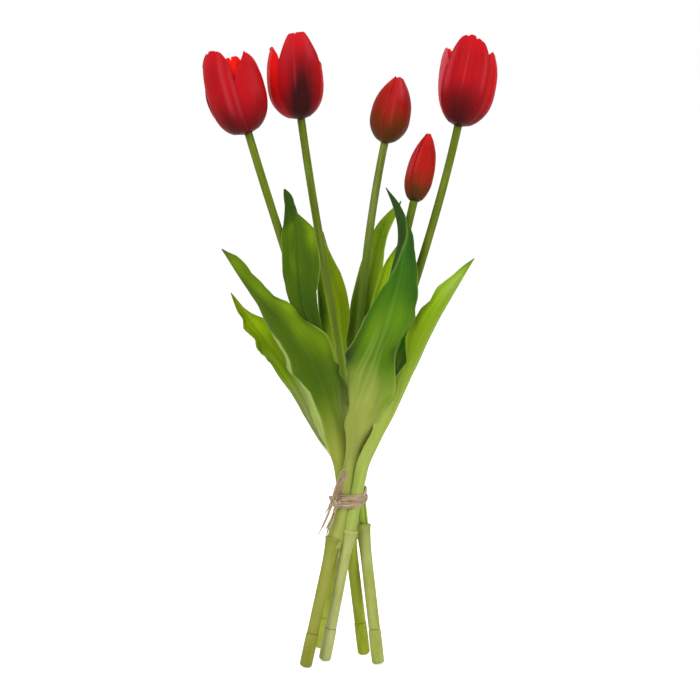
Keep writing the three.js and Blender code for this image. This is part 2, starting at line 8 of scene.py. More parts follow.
import bmesh
import bpy
import numpy as np
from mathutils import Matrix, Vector


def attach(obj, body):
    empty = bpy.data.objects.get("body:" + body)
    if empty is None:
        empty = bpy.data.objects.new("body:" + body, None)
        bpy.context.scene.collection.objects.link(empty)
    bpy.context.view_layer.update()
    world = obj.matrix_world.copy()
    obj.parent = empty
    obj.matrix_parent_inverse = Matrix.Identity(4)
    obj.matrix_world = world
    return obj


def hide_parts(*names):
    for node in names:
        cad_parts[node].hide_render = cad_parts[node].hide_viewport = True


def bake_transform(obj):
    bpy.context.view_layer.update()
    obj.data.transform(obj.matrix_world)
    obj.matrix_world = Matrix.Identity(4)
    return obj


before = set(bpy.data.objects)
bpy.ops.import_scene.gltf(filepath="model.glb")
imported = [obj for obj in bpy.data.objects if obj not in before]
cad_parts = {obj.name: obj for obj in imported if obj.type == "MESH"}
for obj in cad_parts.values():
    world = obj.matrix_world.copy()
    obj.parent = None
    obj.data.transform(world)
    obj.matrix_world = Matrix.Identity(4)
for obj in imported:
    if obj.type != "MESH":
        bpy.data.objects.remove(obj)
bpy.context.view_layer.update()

MM = 0.001
# From the places in the tables to the ground under the middle of the bouquet
SHIFT = np.array([-6.214, 1.486, -0.002])
QUARTER = math.pi / 2
# Half step, as a share of a curve, over which its direction is taken
NEAR = 0.004

# Sizes shared with the solids
CLEARANCE = 0.3
STEM_RADIUS = 3.3
STEM_TOP_RADIUS = 2.8
WIRE_RADIUS = 1.0
PEG_RADIUS = 1.9
PEG_LENGTH = 9
TIE_HEIGHT = 126
BEND_EASE = 0.36
CAP_LENGTH = 25
CAP_RADIUS = 4.6
CAP_ROUND = 1.4
SOLE_RADIUS = CAP_RADIUS - CAP_ROUND
LOWER_RADIUS = 4.3
FLARE_LENGTH = 24
COLLAR_WALL = 0.8
SOCKET_DEPTH = 20
SHEATH_DEPTH = 8
LEAF_THICKNESS = 0.9
LEAF_PITCH = 12
SHEATH_WRAP = 2.3
CLASP_WRAP = 1.2
UNROLL_SPAN = 0.22
TURN_START = 0.1
TURN_SPAN = 0.5
SHEATH_INNER = STEM_RADIUS + CLEARANCE
SHEATH_OUTER = SHEATH_INNER + LEAF_THICKNESS
SHEATH_MIDDLE = SHEATH_INNER + LEAF_THICKNESS / 2
COLLAR_BORE = SHEATH_OUTER + CLEARANCE
COLLAR_RADIUS = COLLAR_BORE + COLLAR_WALL

STEMS = [
    dict(foot=(15.8, 10), tie=(1, -0.3), top=(-67.9, -18, 393), slope=(-0.29, 0), collar=98),
    dict(foot=(26.2, -18.5), tie=(11.8, 13.2), top=(-30.6, 4, 403.52), slope=(-0.13, -0.14), collar=101),
    dict(foot=(-18.2, 28.5), tie=(-0.6, 10), top=(31, 22.8, 386), slope=(0.21, -0.03), collar=96),
    dict(foot=(-27.9, -25.8), tie=(-0.3, -11.3), top=(51.6, -11.8, 344.48), slope=(0.23, 0.13), collar=96),
    dict(foot=(-13.9, -7.2), tie=(9.7, -11.8), top=(83.6, -3.8, 398), slope=(0.22, 0.11), collar=101),
]
# Height of the bend of each stem, where its hinge is
BEND_HEIGHTS = [332, 338, 330, 312, 330]

# Fineness of the meshes
TURNED_SIDES = 40
STEM_ROWS = 90
STEM_SIDES = 24
WIRE_SIDES = 10
LEAF_ROWS = 130
LEAF_SIDE = 22
PETAL_ROWS = 52
PETAL_SIDE = 18
CORE_SIDES = 36


def smooth(t):
    c = np.clip(t, 0, 1)
    return c * c * (3 - 2 * c)


def mix(a, b, t):
    return a + (b - a) * t


def bell(x, width):
    """1 in the middle, fading out softly over a width to each side."""
    return np.exp(-(x / width) ** 2)


def unit(v):
    v = np.asarray(v, float)
    return v / np.linalg.norm(v, axis=-1, keepdims=True)


def square(direction, to):
    """The part of a direction that is square to another, as unit vectors."""
    direction = np.broadcast_to(direction, np.shape(to))
    return unit(direction - np.sum(direction * to, axis=-1, keepdims=True) * to)


def heading(degrees):
    return np.array([math.cos(math.radians(degrees)), math.sin(math.radians(degrees)), 0.0])


def spins(count):
    """Angles in even steps once round."""
    return np.linspace(0, 2 * math.pi, count, endpoint=False)


def running(points):
    """Length along a line from its start to each of its points."""
    return np.concatenate([[0], np.cumsum(np.linalg.norm(np.diff(points, axis=0), axis=1))])


def wave(x, seed):
    """Smooth wander between about -1 and 1 along x, the same on every run."""
    generator = np.random.default_rng(seed)
    total = np.zeros_like(np.asarray(x, float))
    for octave in range(3):
        phase, drift = generator.uniform(0, 2 * math.pi, 2)
        rate = 1.7 ** octave * (1 + 0.2 * math.sin(drift))
        total = total + np.sin(2 * math.pi * rate * x + phase) / 1.5 ** octave
    return total / 1.8


class Axis:
    """Centre line of a stem: straight from the foot to the tie, then one easy bend to the head."""

    def __init__(self, foot, tie, top, slope, collar):
        tie = np.array([*tie, TIE_HEIGHT], float)
        self.foot = np.array([*foot, 0.0])
        lean = unit(tie - self.foot)
        self.foot[2] = SOLE_RADIUS * math.sin(math.acos(lean[2]))
        self.up = unit(tie - self.foot)
        self.top = np.array(top, float)
        self.end = unit([*slope, 1.0])
        reach = np.linalg.norm(tie - self.top) * BEND_EASE
        self.handles = [tie, tie + self.up * reach, self.top - self.end * reach, self.top]
        self.collar = (collar - self.foot[2]) / self.up[2]
        self.line = np.vstack([self.foot, self.bend(np.linspace(0, 1, 300))])

    def bend(self, t):
        t = np.asarray(t, float)[:, None]
        a, b, c, d = self.handles
        return a * (1 - t) ** 3 + 3 * b * t * (1 - t) ** 2 + 3 * c * t * t * (1 - t) + d * t ** 3

    def at(self, height):
        return np.stack([np.interp(height, self.line[:, 2], self.line[:, k]) for k in range(3)], -1)

    def along(self, height):
        return unit(self.at(height + LEAF_PITCH) - self.at(height - LEAF_PITCH))


class Through:
    """Smooth curve through points, in even steps of its chord length."""

    def __init__(self, points):
        self.points = np.asarray(points, float)
        self.knots = running(self.points)
        self.length = self.knots[-1]
        order = np.arange(len(self.points))
        before = np.maximum(0, order - 1)
        after = np.minimum(len(order) - 1, order + 1)
        spans = (self.knots[after] - self.knots[before])[:, None]
        self.slopes = (self.points[after] - self.points[before]) / spans

    def at(self, t):
        length = np.asarray(t, float) * self.length
        i = np.clip(np.searchsorted(self.knots, length) - 1, 0, len(self.points) - 2)
        span = (self.knots[i + 1] - self.knots[i])[:, None]
        s = (length - self.knots[i])[:, None] / span
        return (self.points[i] * (1 + 2 * s) * (1 - s) ** 2 + self.slopes[i] * span * s * (1 - s) ** 2
                + self.points[i + 1] * s * s * (3 - 2 * s) + self.slopes[i + 1] * span * s * s * (s - 1))

    def direction(self, t):
        t = np.asarray(t, float)
        return unit(self.at(np.minimum(1, t + NEAR)) - self.at(np.maximum(0, t - NEAR)))


axes = [Axis(**stem) for stem in STEMS]


# Meshes
def shell(front, back, **values):
    """Closed sheet between two grids of points. A value is a grid, or a pair of them for the two sides."""
    rows, cols = front.shape[:2]
    n = rows * cols
    k = np.arange(n).reshape(rows, cols)
    a, b, c, d = k[:-1, :-1], k[:-1, 1:], k[1:, 1:], k[1:, :-1]
    rim = np.concatenate([k[0, :], k[1:, -1], k[-1, -2::-1], k[-2:0:-1, 0]])
    after = np.roll(rim, -1)
    quads = np.concatenate([
        np.stack([a, b, c, d], -1).reshape(-1, 4),
        np.stack([a + n, d + n, c + n, b + n], -1).reshape(-1, 4),
        np.stack([rim, rim + n, after + n, after], -1),
    ])
    points = np.concatenate([front.reshape(-1, 3), back.reshape(-1, 3)])
    sides = {}
    for key, value in values.items():
        pair = value if isinstance(value, tuple) else (value, value)
        sides[key] = np.concatenate([np.broadcast_to(v, (rows, cols)).ravel() for v in pair])
    return points, quads.tolist(), sides


def tube(rings, closed=False, **values):
    """Skin over rings of points, capped at its ends or closed on itself."""
    rows, cols = rings.shape[:2]
    k = np.arange(rows * cols).reshape(rows, cols)
    low = k if closed else k[:-1]
    high = np.roll(k, -1, 0) if closed else k[1:]
    quads = np.stack([low, np.roll(low, -1, 1), np.roll(high, -1, 1), high], -1).reshape(-1, 4).tolist()
    if not closed:
        quads.append(k[0, ::-1].tolist())
        quads.append(k[-1].tolist())
    grids = {key: np.broadcast_to(value, (rows, cols)).ravel() for key, value in values.items()}
    return rings.reshape(-1, 3), quads, grids


def make(name, parts, material, body, replaced):
    """One piece from closed parts, riding on a body if one is given."""
    faces = []
    points = []
    base = 0
    for part_points, part_faces, _ in parts:
        points.append(part_points)
        faces.extend([i + base for i in face] for face in part_faces)
        base += len(part_points)
    mesh = bpy.data.meshes.new(name)
    mesh.from_pydata(((np.vstack(points) + SHIFT) * MM).tolist(), [], faces)
    for key in parts[0][2]:
        layer = mesh.attributes.new(key, "FLOAT", "POINT")
        layer.data.foreach_set("value", np.concatenate([p[2][key] for p in parts]).astype(np.float32))
    work = bmesh.new()
    work.from_mesh(mesh)
    bmesh.ops.recalc_face_normals(work, faces=work.faces)
    work.to_mesh(mesh)
    work.free()
    mesh.shade_smooth()
    mesh.materials.append(material)
    piece = bpy.data.objects.new(name, mesh)
    bpy.context.scene.collection.objects.link(piece)
    if body:
        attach(piece, body)
    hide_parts(replaced)
    return piece


def circles(centres, tangents, radii, sides):
    """Rings round a line, without twist from one to the next. One radius, one a ring or one a point."""
    a = square(np.array([1.0, 0, 0]), tangents)[:, None]
    b = np.cross(tangents, a[:, 0])[:, None]
    radii = np.asarray(radii, float)
    radii = radii if radii.ndim == 2 else radii.reshape(-1, 1)
    angle = spins(sides)
    return centres[:, None] + a * (radii * np.cos(angle))[..., None] + b * (radii * np.sin(angle))[..., None]


def level_rings(radii, heights):
    """Rings about the Z axis, with a row of radii and a height for each."""
    spin = spins(radii.shape[1])
    grids = np.broadcast_arrays(radii * np.cos(spin), radii * np.sin(spin), heights[:, None])
    return np.stack(grids, -1)


def turned(profile, axis, closed=False):
    """A turned form from radius and height pairs, standing on the foot of a stem."""
    profile = np.asarray(profile, float)
    centres = axis.foot + axis.up * profile[:, 1:]
    tangents = np.broadcast_to(axis.up, centres.shape)
    rings = circles(centres, tangents, profile[:, 0], TURNED_SIDES)
    return tube(rings, closed, across=np.linspace(-1, 1, TURNED_SIDES), along=profile[:, 1:])


def corner(r, z, size, start, stop, count=5):
    """Quarter round about a centre, as radius and height pairs."""
    angle = np.radians(np.linspace(start, stop, count))
    return [(r + size * math.cos(a), z + size * math.sin(a)) for a in angle]


# Materials
def rgb(code):
    """Linear colour from a hex code."""
    parts = [int(code[i:i + 2], 16) / 255 for i in (0, 2, 4)]
    return [c / 12.92 if c <= 0.04045 else ((c + 0.055) / 1.055) ** 2.4 for c in parts] + [1.0]


class Nodes:
    """Short ways to lay out the nodes of a tree. A colour is a hex code or a socket."""

    def __init__(self, tree):
        self.tree = tree

    def put(self, socket, value):
        if isinstance(value, bpy.types.NodeSocket):
            self.tree.links.new(value, socket)
        else:
            socket.default_value = rgb(value) if isinstance(value, str) else value

    def node(self, kind, *inputs, **settings):
        node = self.tree.nodes.new("ShaderNode" + kind)
        for key, value in settings.items():
            setattr(node, key, value)
        for socket, value in zip(node.inputs, inputs):
            self.put(socket, value)
        return node

    def math(self, operation, *values, clamp=False):
        return self.node("Math", *values, operation=operation, use_clamp=clamp).outputs[0]

    def seen(self):
        """1 for what the camera sees, straight, mirrored or through something clear."""
        rays = self.node("LightPath").outputs
        indirect = self.math("MAXIMUM", rays["Is Glossy Ray"], rays["Is Transmission Ray"])
        return self.math("MAXIMUM", rays["Is Camera Ray"], indirect)


class Shade(Nodes):
    """A material whose colour is laid on coat by coat."""

    def __init__(self, name, **sockets):
        self.material = bpy.data.materials.new(name)
        self.material.use_nodes = True
        super().__init__(self.material.node_tree)
        self.shader = self.tree.nodes["Principled BSDF"]
        for key, value in sockets.items():
            self.to(key.replace("_", " "), value)

    def to(self, name, value):
        self.put(self.shader.inputs[name], value)

    def read(self, *names):
        return [self.node("Attribute", attribute_name=name).outputs["Fac"] for name in names]

    def sheet(self):
        """Places across and along a piece, which its grain follows."""
        self.places = self.read("across", "along")
        return self.places

    def scaled(self, value, factor, base=0.0):
        return self.math("MULTIPLY_ADD", value, factor, base)

    def span(self, value, low, high, amount=1.0):
        """0 to an amount, eased while the value goes from low to high."""
        node = self.node("MapRange", value, low, high, 0.0, amount, interpolation_type="SMOOTHSTEP")
        return node.outputs[0]

    def noise(self, place, scale, detail, roughness=0.5):
        """Noise of about 0 to 1."""
        node = self.node("TexNoise", place)
        for name, value in (("Scale", scale), ("Detail", detail), ("Roughness", roughness)):
            node.inputs[name].default_value = value
        return node.outputs["Fac"]

    def grain(self, across, along, seed, detail=2.0, roughness=0.5):
        """Noise over a piece, with its rates across and along."""
        x, y = (self.scaled(place, rate) for place, rate in zip(self.places, (across, along)))
        return self.noise(self.node("CombineXYZ", x, y, seed).outputs[0], 1.0, detail, roughness)

    def speckle(self, scale):
        """Noise through the room that a piece takes up."""
        return self.noise(self.node("TexCoord").outputs["Object"], scale, 3.0)

    def ramp(self, factor, *stops):
        """First coat: colours at places of a factor."""
        node = self.node("ValToRGB", factor)
        elements = node.color_ramp.elements
        while len(elements) < len(stops):
            elements.new(0.5)
        for element, (place, colour) in zip(elements, stops):
            element.position = place
            element.color = rgb(colour)
        self.colour = node.outputs[0]

    def coat(self, factor, colour, kind="MIX"):
        """A further coat, as thick as the factor."""
        node = self.node("Mix", data_type="RGBA", blend_type=kind)
        for name, value in (("Factor_Float", factor), ("A_Color", self.colour), ("B_Color", colour)):
            self.put(next(s for s in node.inputs if s.identifier == name), value)
        self.colour = next(s for s in node.outputs if s.identifier == "Result_Color")

    def toned(self, tone):
        """Makes the colour so far darker or lighter by a tone."""
        self.coat(1.0, self.node("CombineColor", tone, tone, tone).outputs[0], "MULTIPLY")

    def finish(self, roughness, relief=None, depth=0.0, strength=0.5):
        """Colour, roughness and relief, brought to the shader."""
        self.to("Base Color", self.colour)
        self.to("Roughness", roughness)
        if relief is not None:
            node = self.node("Bump")
            for name, value in (("Strength", strength), ("Distance", depth), ("Height", relief)):
                self.put(node.inputs[name], value)
            self.to("Normal", node.outputs[0])
        return self.material


def leaf_material(name, seed, base, low, main, high, tip, deep, bright, green):
    """Soft moulded leaf: pale at the sheath, green above, dark tip, parallel veins and sprayed patches."""
    s = Shade(name, Specular_IOR_Level=0.025)
    across, along = s.sheet()
    under, glow, shade, pale = s.read("under", "glow", "shade", "pale")
    drift = s.scaled(s.grain(1.5, 5.0, seed + 0.3), 0.12, -0.06)
    s.ramp(s.math("ADD", along, drift), (0.0, base), (green[0], low), (green[1], main), (0.8, high),
           (0.94, high), (0.99, tip))
    patch = s.grain(1.3, 4.2, seed + 4.1, 3.0)
    s.coat(s.span(patch, 0.5, 0.75, 0.35), deep)
    s.coat(s.span(patch, 0.48, 0.25, 0.3), bright)
    # Painted shade and painted highlight from the spots and creases of the leaf table
    s.coat(shade, deep)
    s.coat(glow, bright)
    streak = s.grain(9.0, 2.2, seed + 7.7, 4.0, 0.65)
    vein = s.grain(42.0, 3.0, seed + 2.2)
    s.toned(s.scaled(streak, 0.5, s.scaled(vein, 0.22, 0.64)))
    width = s.math("ABSOLUTE", across)
    # Painted highlight where the pale spots and crease lines lie, and a pale line along the margin and the
    # midrib
    lit = s.math("MULTIPLY", pale, s.scaled(streak, 1.1, 0.45), clamp=True)
    for line in (s.span(width, 0.93, 1.0, 0.5), s.span(width, 0.05, 0.0, 0.03)):
        lit = s.math("MAXIMUM", lit, line)
    s.coat(lit, "B0C46A")
    s.coat(s.scaled(under, 0.06), "93A940")
    return s.finish(s.scaled(streak, 0.25, 0.3), s.scaled(vein, 0.6, s.scaled(streak, 0.4)), 0.0004)


def petal_material(name, seed, foot, low, main, high, dark_base_and_shade, light):
    """Satin petal: dark base, fine streaks from base to tip and soft painted pink highlights on its ridges.
    """
    s = Shade(name, Specular_IOR_Level=0.05)
    across, along = s.sheet()
    dark, glow, pale = s.read("dark", "glow", "pale")
    drift = s.scaled(s.grain(3.0, 2.0, seed), 0.16, -0.08)
    s.ramp(s.math("ADD", along, drift), (0.0, foot), (0.16, low), (0.5, main), (0.78, main), (1.0, high))
    streak = s.grain(8.0, 1.4, seed + 3.3, 4.0, 0.6)
    fine = s.grain(34.0, 2.4, seed + 8.2)
    s.coat(s.span(streak, 0.52, 0.75, 0.4), high)
    # The petal's own dark base, which is painted shade where it runs wide or high
    s.coat(s.math("MULTIPLY", dark, s.scaled(streak, 0.5, 0.75), clamp=True), dark_base_and_shade)
    # Painted glow of light shining through the petal
    s.coat(glow, light)
    s.toned(s.scaled(fine, 0.26, 0.87))
    # Pale edges, and painted pink highlights where the lights lie
    edge = s.span(s.math("ABSOLUTE", across), 0.94, 1.0, 0.18)
    lit = s.math("MULTIPLY", pale, s.scaled(streak, 0.6, 0.7))
    s.coat(s.math("MAXIMUM", edge, lit), "D84E5A")
    return s.finish(s.scaled(streak, 0.24, 0.34), s.scaled(fine, 0.7, s.scaled(streak, 0.6)), 0.0003)


def stem_material(name, seed, roughness, main, pale, deep, low=None, fade=None):
    """Moulded stem: soft streaks, faint mottling, and painted light and shade towards the tie if given."""
    s = Shade(name, Specular_IOR_Level=0.06)
    _, along = s.sheet()
    fleck = s.speckle(420.0)
    streak = s.grain(3.0, 0.05, seed, 4.0, 0.6)
    s.colour = deep
    s.coat(s.span(streak, 0.35, 0.65), main)
    s.coat(s.span(s.grain(0.9, 0.02, seed + 5.0), 0.45, 0.7, 0.75), pale)
    s.coat(s.span(fleck, 0.55, 0.75, 0.25), pale)
    # Towards the tie, painted light and shade from the leaves round the stem
    if low:
        s.coat(s.span(along, *fade, 0.85), low)
    relief = s.scaled(streak, 0.8, s.scaled(fleck, 0.25))
    return s.finish(s.scaled(fleck, 0.2, roughness - 0.1), relief, 0.0004)


def raffia_material():
    """Dried palm fibre: fine lengthwise lines, tan and brown, matt."""
    s = Shade("raffia_fibre", Specular_IOR_Level=0.3, Sheen_Weight=0.1)
    s.sheet()
    [tint] = s.read("tint")
    line = s.grain(9.0, 0.05, tint, 4.0, 0.7)
    fine = s.grain(30.0, 0.12, tint)
    s.ramp(line, (0.38, "4A321E"), (0.46, "A2825A"), (0.53, "D0B48E"), (0.62, "F6E8CE"))
    s.toned(s.scaled(fine, 1.0, 0.46))
    return s.finish(s.scaled(fine, 0.3, 0.55), s.scaled(fine, 0.5, line), 0.0005, 0.8)


def wire_material():
    """Drawn steel with faint lines along it."""
    s = Shade("core_wire_steel", Metallic=1.0)
    s.sheet()
    line = s.grain(6.0, 0.03, 1.0, 3.0)
    s.ramp(line, (0.3, "77766F"), (0.7, "A3A29A"))
    return s.finish(s.scaled(line, 0.3, 0.25))


def core_material():
    """Pistil and stamens: green pistil with a yellow top, near black anthers."""
    s = Shade("bloom_core", Specular_IOR_Level=0.3)
    [part] = s.read("part")
    speck = s.speckle(900.0)
    s.ramp(part, (0.0, "4A1A14"), (0.3, "7E8F3A"), (0.6, "C9B85A"), (0.62, "2B1A22"), (1.0, "1E1218"))
    s.toned(s.scaled(speck, 0.6, 0.7))
    return s.finish(s.scaled(speck, 0.3, 0.5), speck, 0.0004, 0.8)


# Lower lengths, caps, stems and wires.
# Main, pale and deep colour, and for an upper stem a colour at the tie, which paints in the light and shade
# among the leaves, and the heights where that fades.
LIMES = [
    ("A2AC38", "B2BE4C", "92A028"),
    ("A7B05A", "B4BC6E", "98A24A"),
    ("AEB83E", "BAC650", "9EAA30"),
    ("94963C", "A0A44C", "868A30"),
    ("BABF74", "C6CC8A", "AAB064"),
]
OLIVES = [
    ("68791A", "788A2C", "5A6C16", "86A01C", (240.0, 150.0)),
    ("697B1F", "7C8E34", "5B6D19", "B2D04C", (250.0, 150.0)),
    ("788A34", "8C9E4C", "6A7C2C", "4E6C16", (250.0, 180.0)),
    ("697B1F", "7C8E34", "5B6D19", "86A01C", (240.0, 150.0)),
    ("64751A", "74862A", "566814", "56741A", (240.0, 150.0)),
]
CAP_WALL = 0.8
CAP_FLOOR = 3.0
SPIGOT_LENGTH = 16
WIRE_BORE = 2.2
steel = wire_material()


def stem_pieces(number, axis, bend_height, lime, olive):
    rim = axis.collar
    seam = CAP_LENGTH + CLEARANCE
    bore = CAP_RADIUS - CAP_WALL
    cap = [
        (0.4, 0.0),
        *corner(SOLE_RADIUS - 0.9, CAP_ROUND + 0.9, CAP_ROUND + 0.9, -90, 0, 9),
        (CAP_RADIUS + 0.05, 8), (CAP_RADIUS + 0.08, 16),
        *corner(CAP_RADIUS - 0.35, CAP_LENGTH - 0.35, 0.35, 0, 90),
        (bore + 0.1, CAP_LENGTH), (bore, CAP_LENGTH - 0.2), (bore, CAP_FLOOR), (0.4, CAP_FLOOR),
    ]
    make(f"cap_{number}", [turned(cap, axis)], lime, "bouquet", f"end_cap_{number}")

    spigot = bore - CLEARANCE
    flare_start = rim - FLARE_LENGTH
    f = np.linspace(0, 1, 9)
    flare = mix(LOWER_RADIUS, COLLAR_RADIUS, 0.25 * f + 0.75 * f ** 2.2)
    length = [
        (WIRE_BORE, seam - SPIGOT_LENGTH), (spigot, seam - SPIGOT_LENGTH), (spigot, seam - 0.5),
        (LOWER_RADIUS - 0.45, seam - 0.1),
        *corner(LOWER_RADIUS - 0.35, seam + 0.35, 0.35, -90, 0),
        *[(LOWER_RADIUS, mix(seam, flare_start, share)) for share in (0.1, 0.35, 0.6, 0.85)],
        *zip(flare, flare_start + f * (FLARE_LENGTH - 2.6)),
        (COLLAR_RADIUS + 0.35, rim - 2.1), (COLLAR_RADIUS + 0.55, rim - 1.5),
        (COLLAR_RADIUS + 0.5, rim - 0.9),
        *corner(COLLAR_RADIUS - 0.3, rim - 0.7, 0.7, 10, 90),
        *corner(COLLAR_BORE + 0.25, rim - 0.25, 0.25, 90, 180, 4),
        (COLLAR_BORE, rim - SHEATH_DEPTH), (SHEATH_INNER, rim - SHEATH_DEPTH - 0.2),
        (SHEATH_INNER, rim - SOCKET_DEPTH), (WIRE_BORE, rim - SOCKET_DEPTH),
    ]
    make(f"lower_length_{number}", [turned(length, axis, True)], lime, "bouquet", f"lower_stem_{number}")

    bottom = axis.foot + axis.up * (rim - SOCKET_DEPTH + CLEARANCE)
    t = np.linspace(0, 1, STEM_ROWS)
    curve = axis.bend(t)
    tangent = unit(np.gradient(curve, axis=0))
    tangent[0], tangent[-1] = axis.up, axis.end
    spin = spins(STEM_SIDES)
    thick = mix(STEM_RADIUS, STEM_TOP_RADIUS, smooth(t)) + 0.1
    ribs = 0.045 * np.sin(5 * spin) + 0.04 * wave(t * 6, 40 + number)[:, None]
    rings = [circles(bottom[None], axis.up[None], STEM_RADIUS - 0.06, STEM_SIDES),
             circles(curve, tangent, thick[:, None] + ribs, STEM_SIDES)]
    for lift, radius in ((0.15, PEG_RADIUS + 0.2), (0.4, PEG_RADIUS), (PEG_LENGTH, PEG_RADIUS)):
        rings.append(circles((axis.top + axis.end * lift)[None], axis.end[None], radius, STEM_SIDES))
    rings = np.concatenate(rings)
    pivot, towards = axis.at(bend_height), axis.along(bend_height)
    body = [tube(rings, across=np.cos(spin), along=running(rings.mean(1))[:, None])]
    stem = make(f"upper_stem_{number}", body, olive, None, f"stem_{number}")
    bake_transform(stem)

    last = axis.top + axis.end * (PEG_LENGTH - 0.2)
    line = np.vstack([axis.foot + axis.up * 3.4, bottom, curve[::3], last])
    rings = circles(line, unit(np.gradient(line, axis=0)), WIRE_RADIUS, WIRE_SIDES)
    body = [tube(rings, across=np.cos(spins(WIRE_SIDES)), along=running(line)[:, None])]
    wire = make(f"wire_{number}", body, steel, None, f"core_wire_{number}")
    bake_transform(wire)


for i, axis in enumerate(axes):
    lime = stem_material(f"lower_stem_lime_{i + 1}", 3.0 * i, 0.5, *LIMES[i])
    olive = stem_material(f"upper_stem_olive_{i + 1}", 21.0 + i, 0.46, *OLIVES[i])
    stem_pieces(i + 1, axis, BEND_HEIGHTS[i], lime, olive)
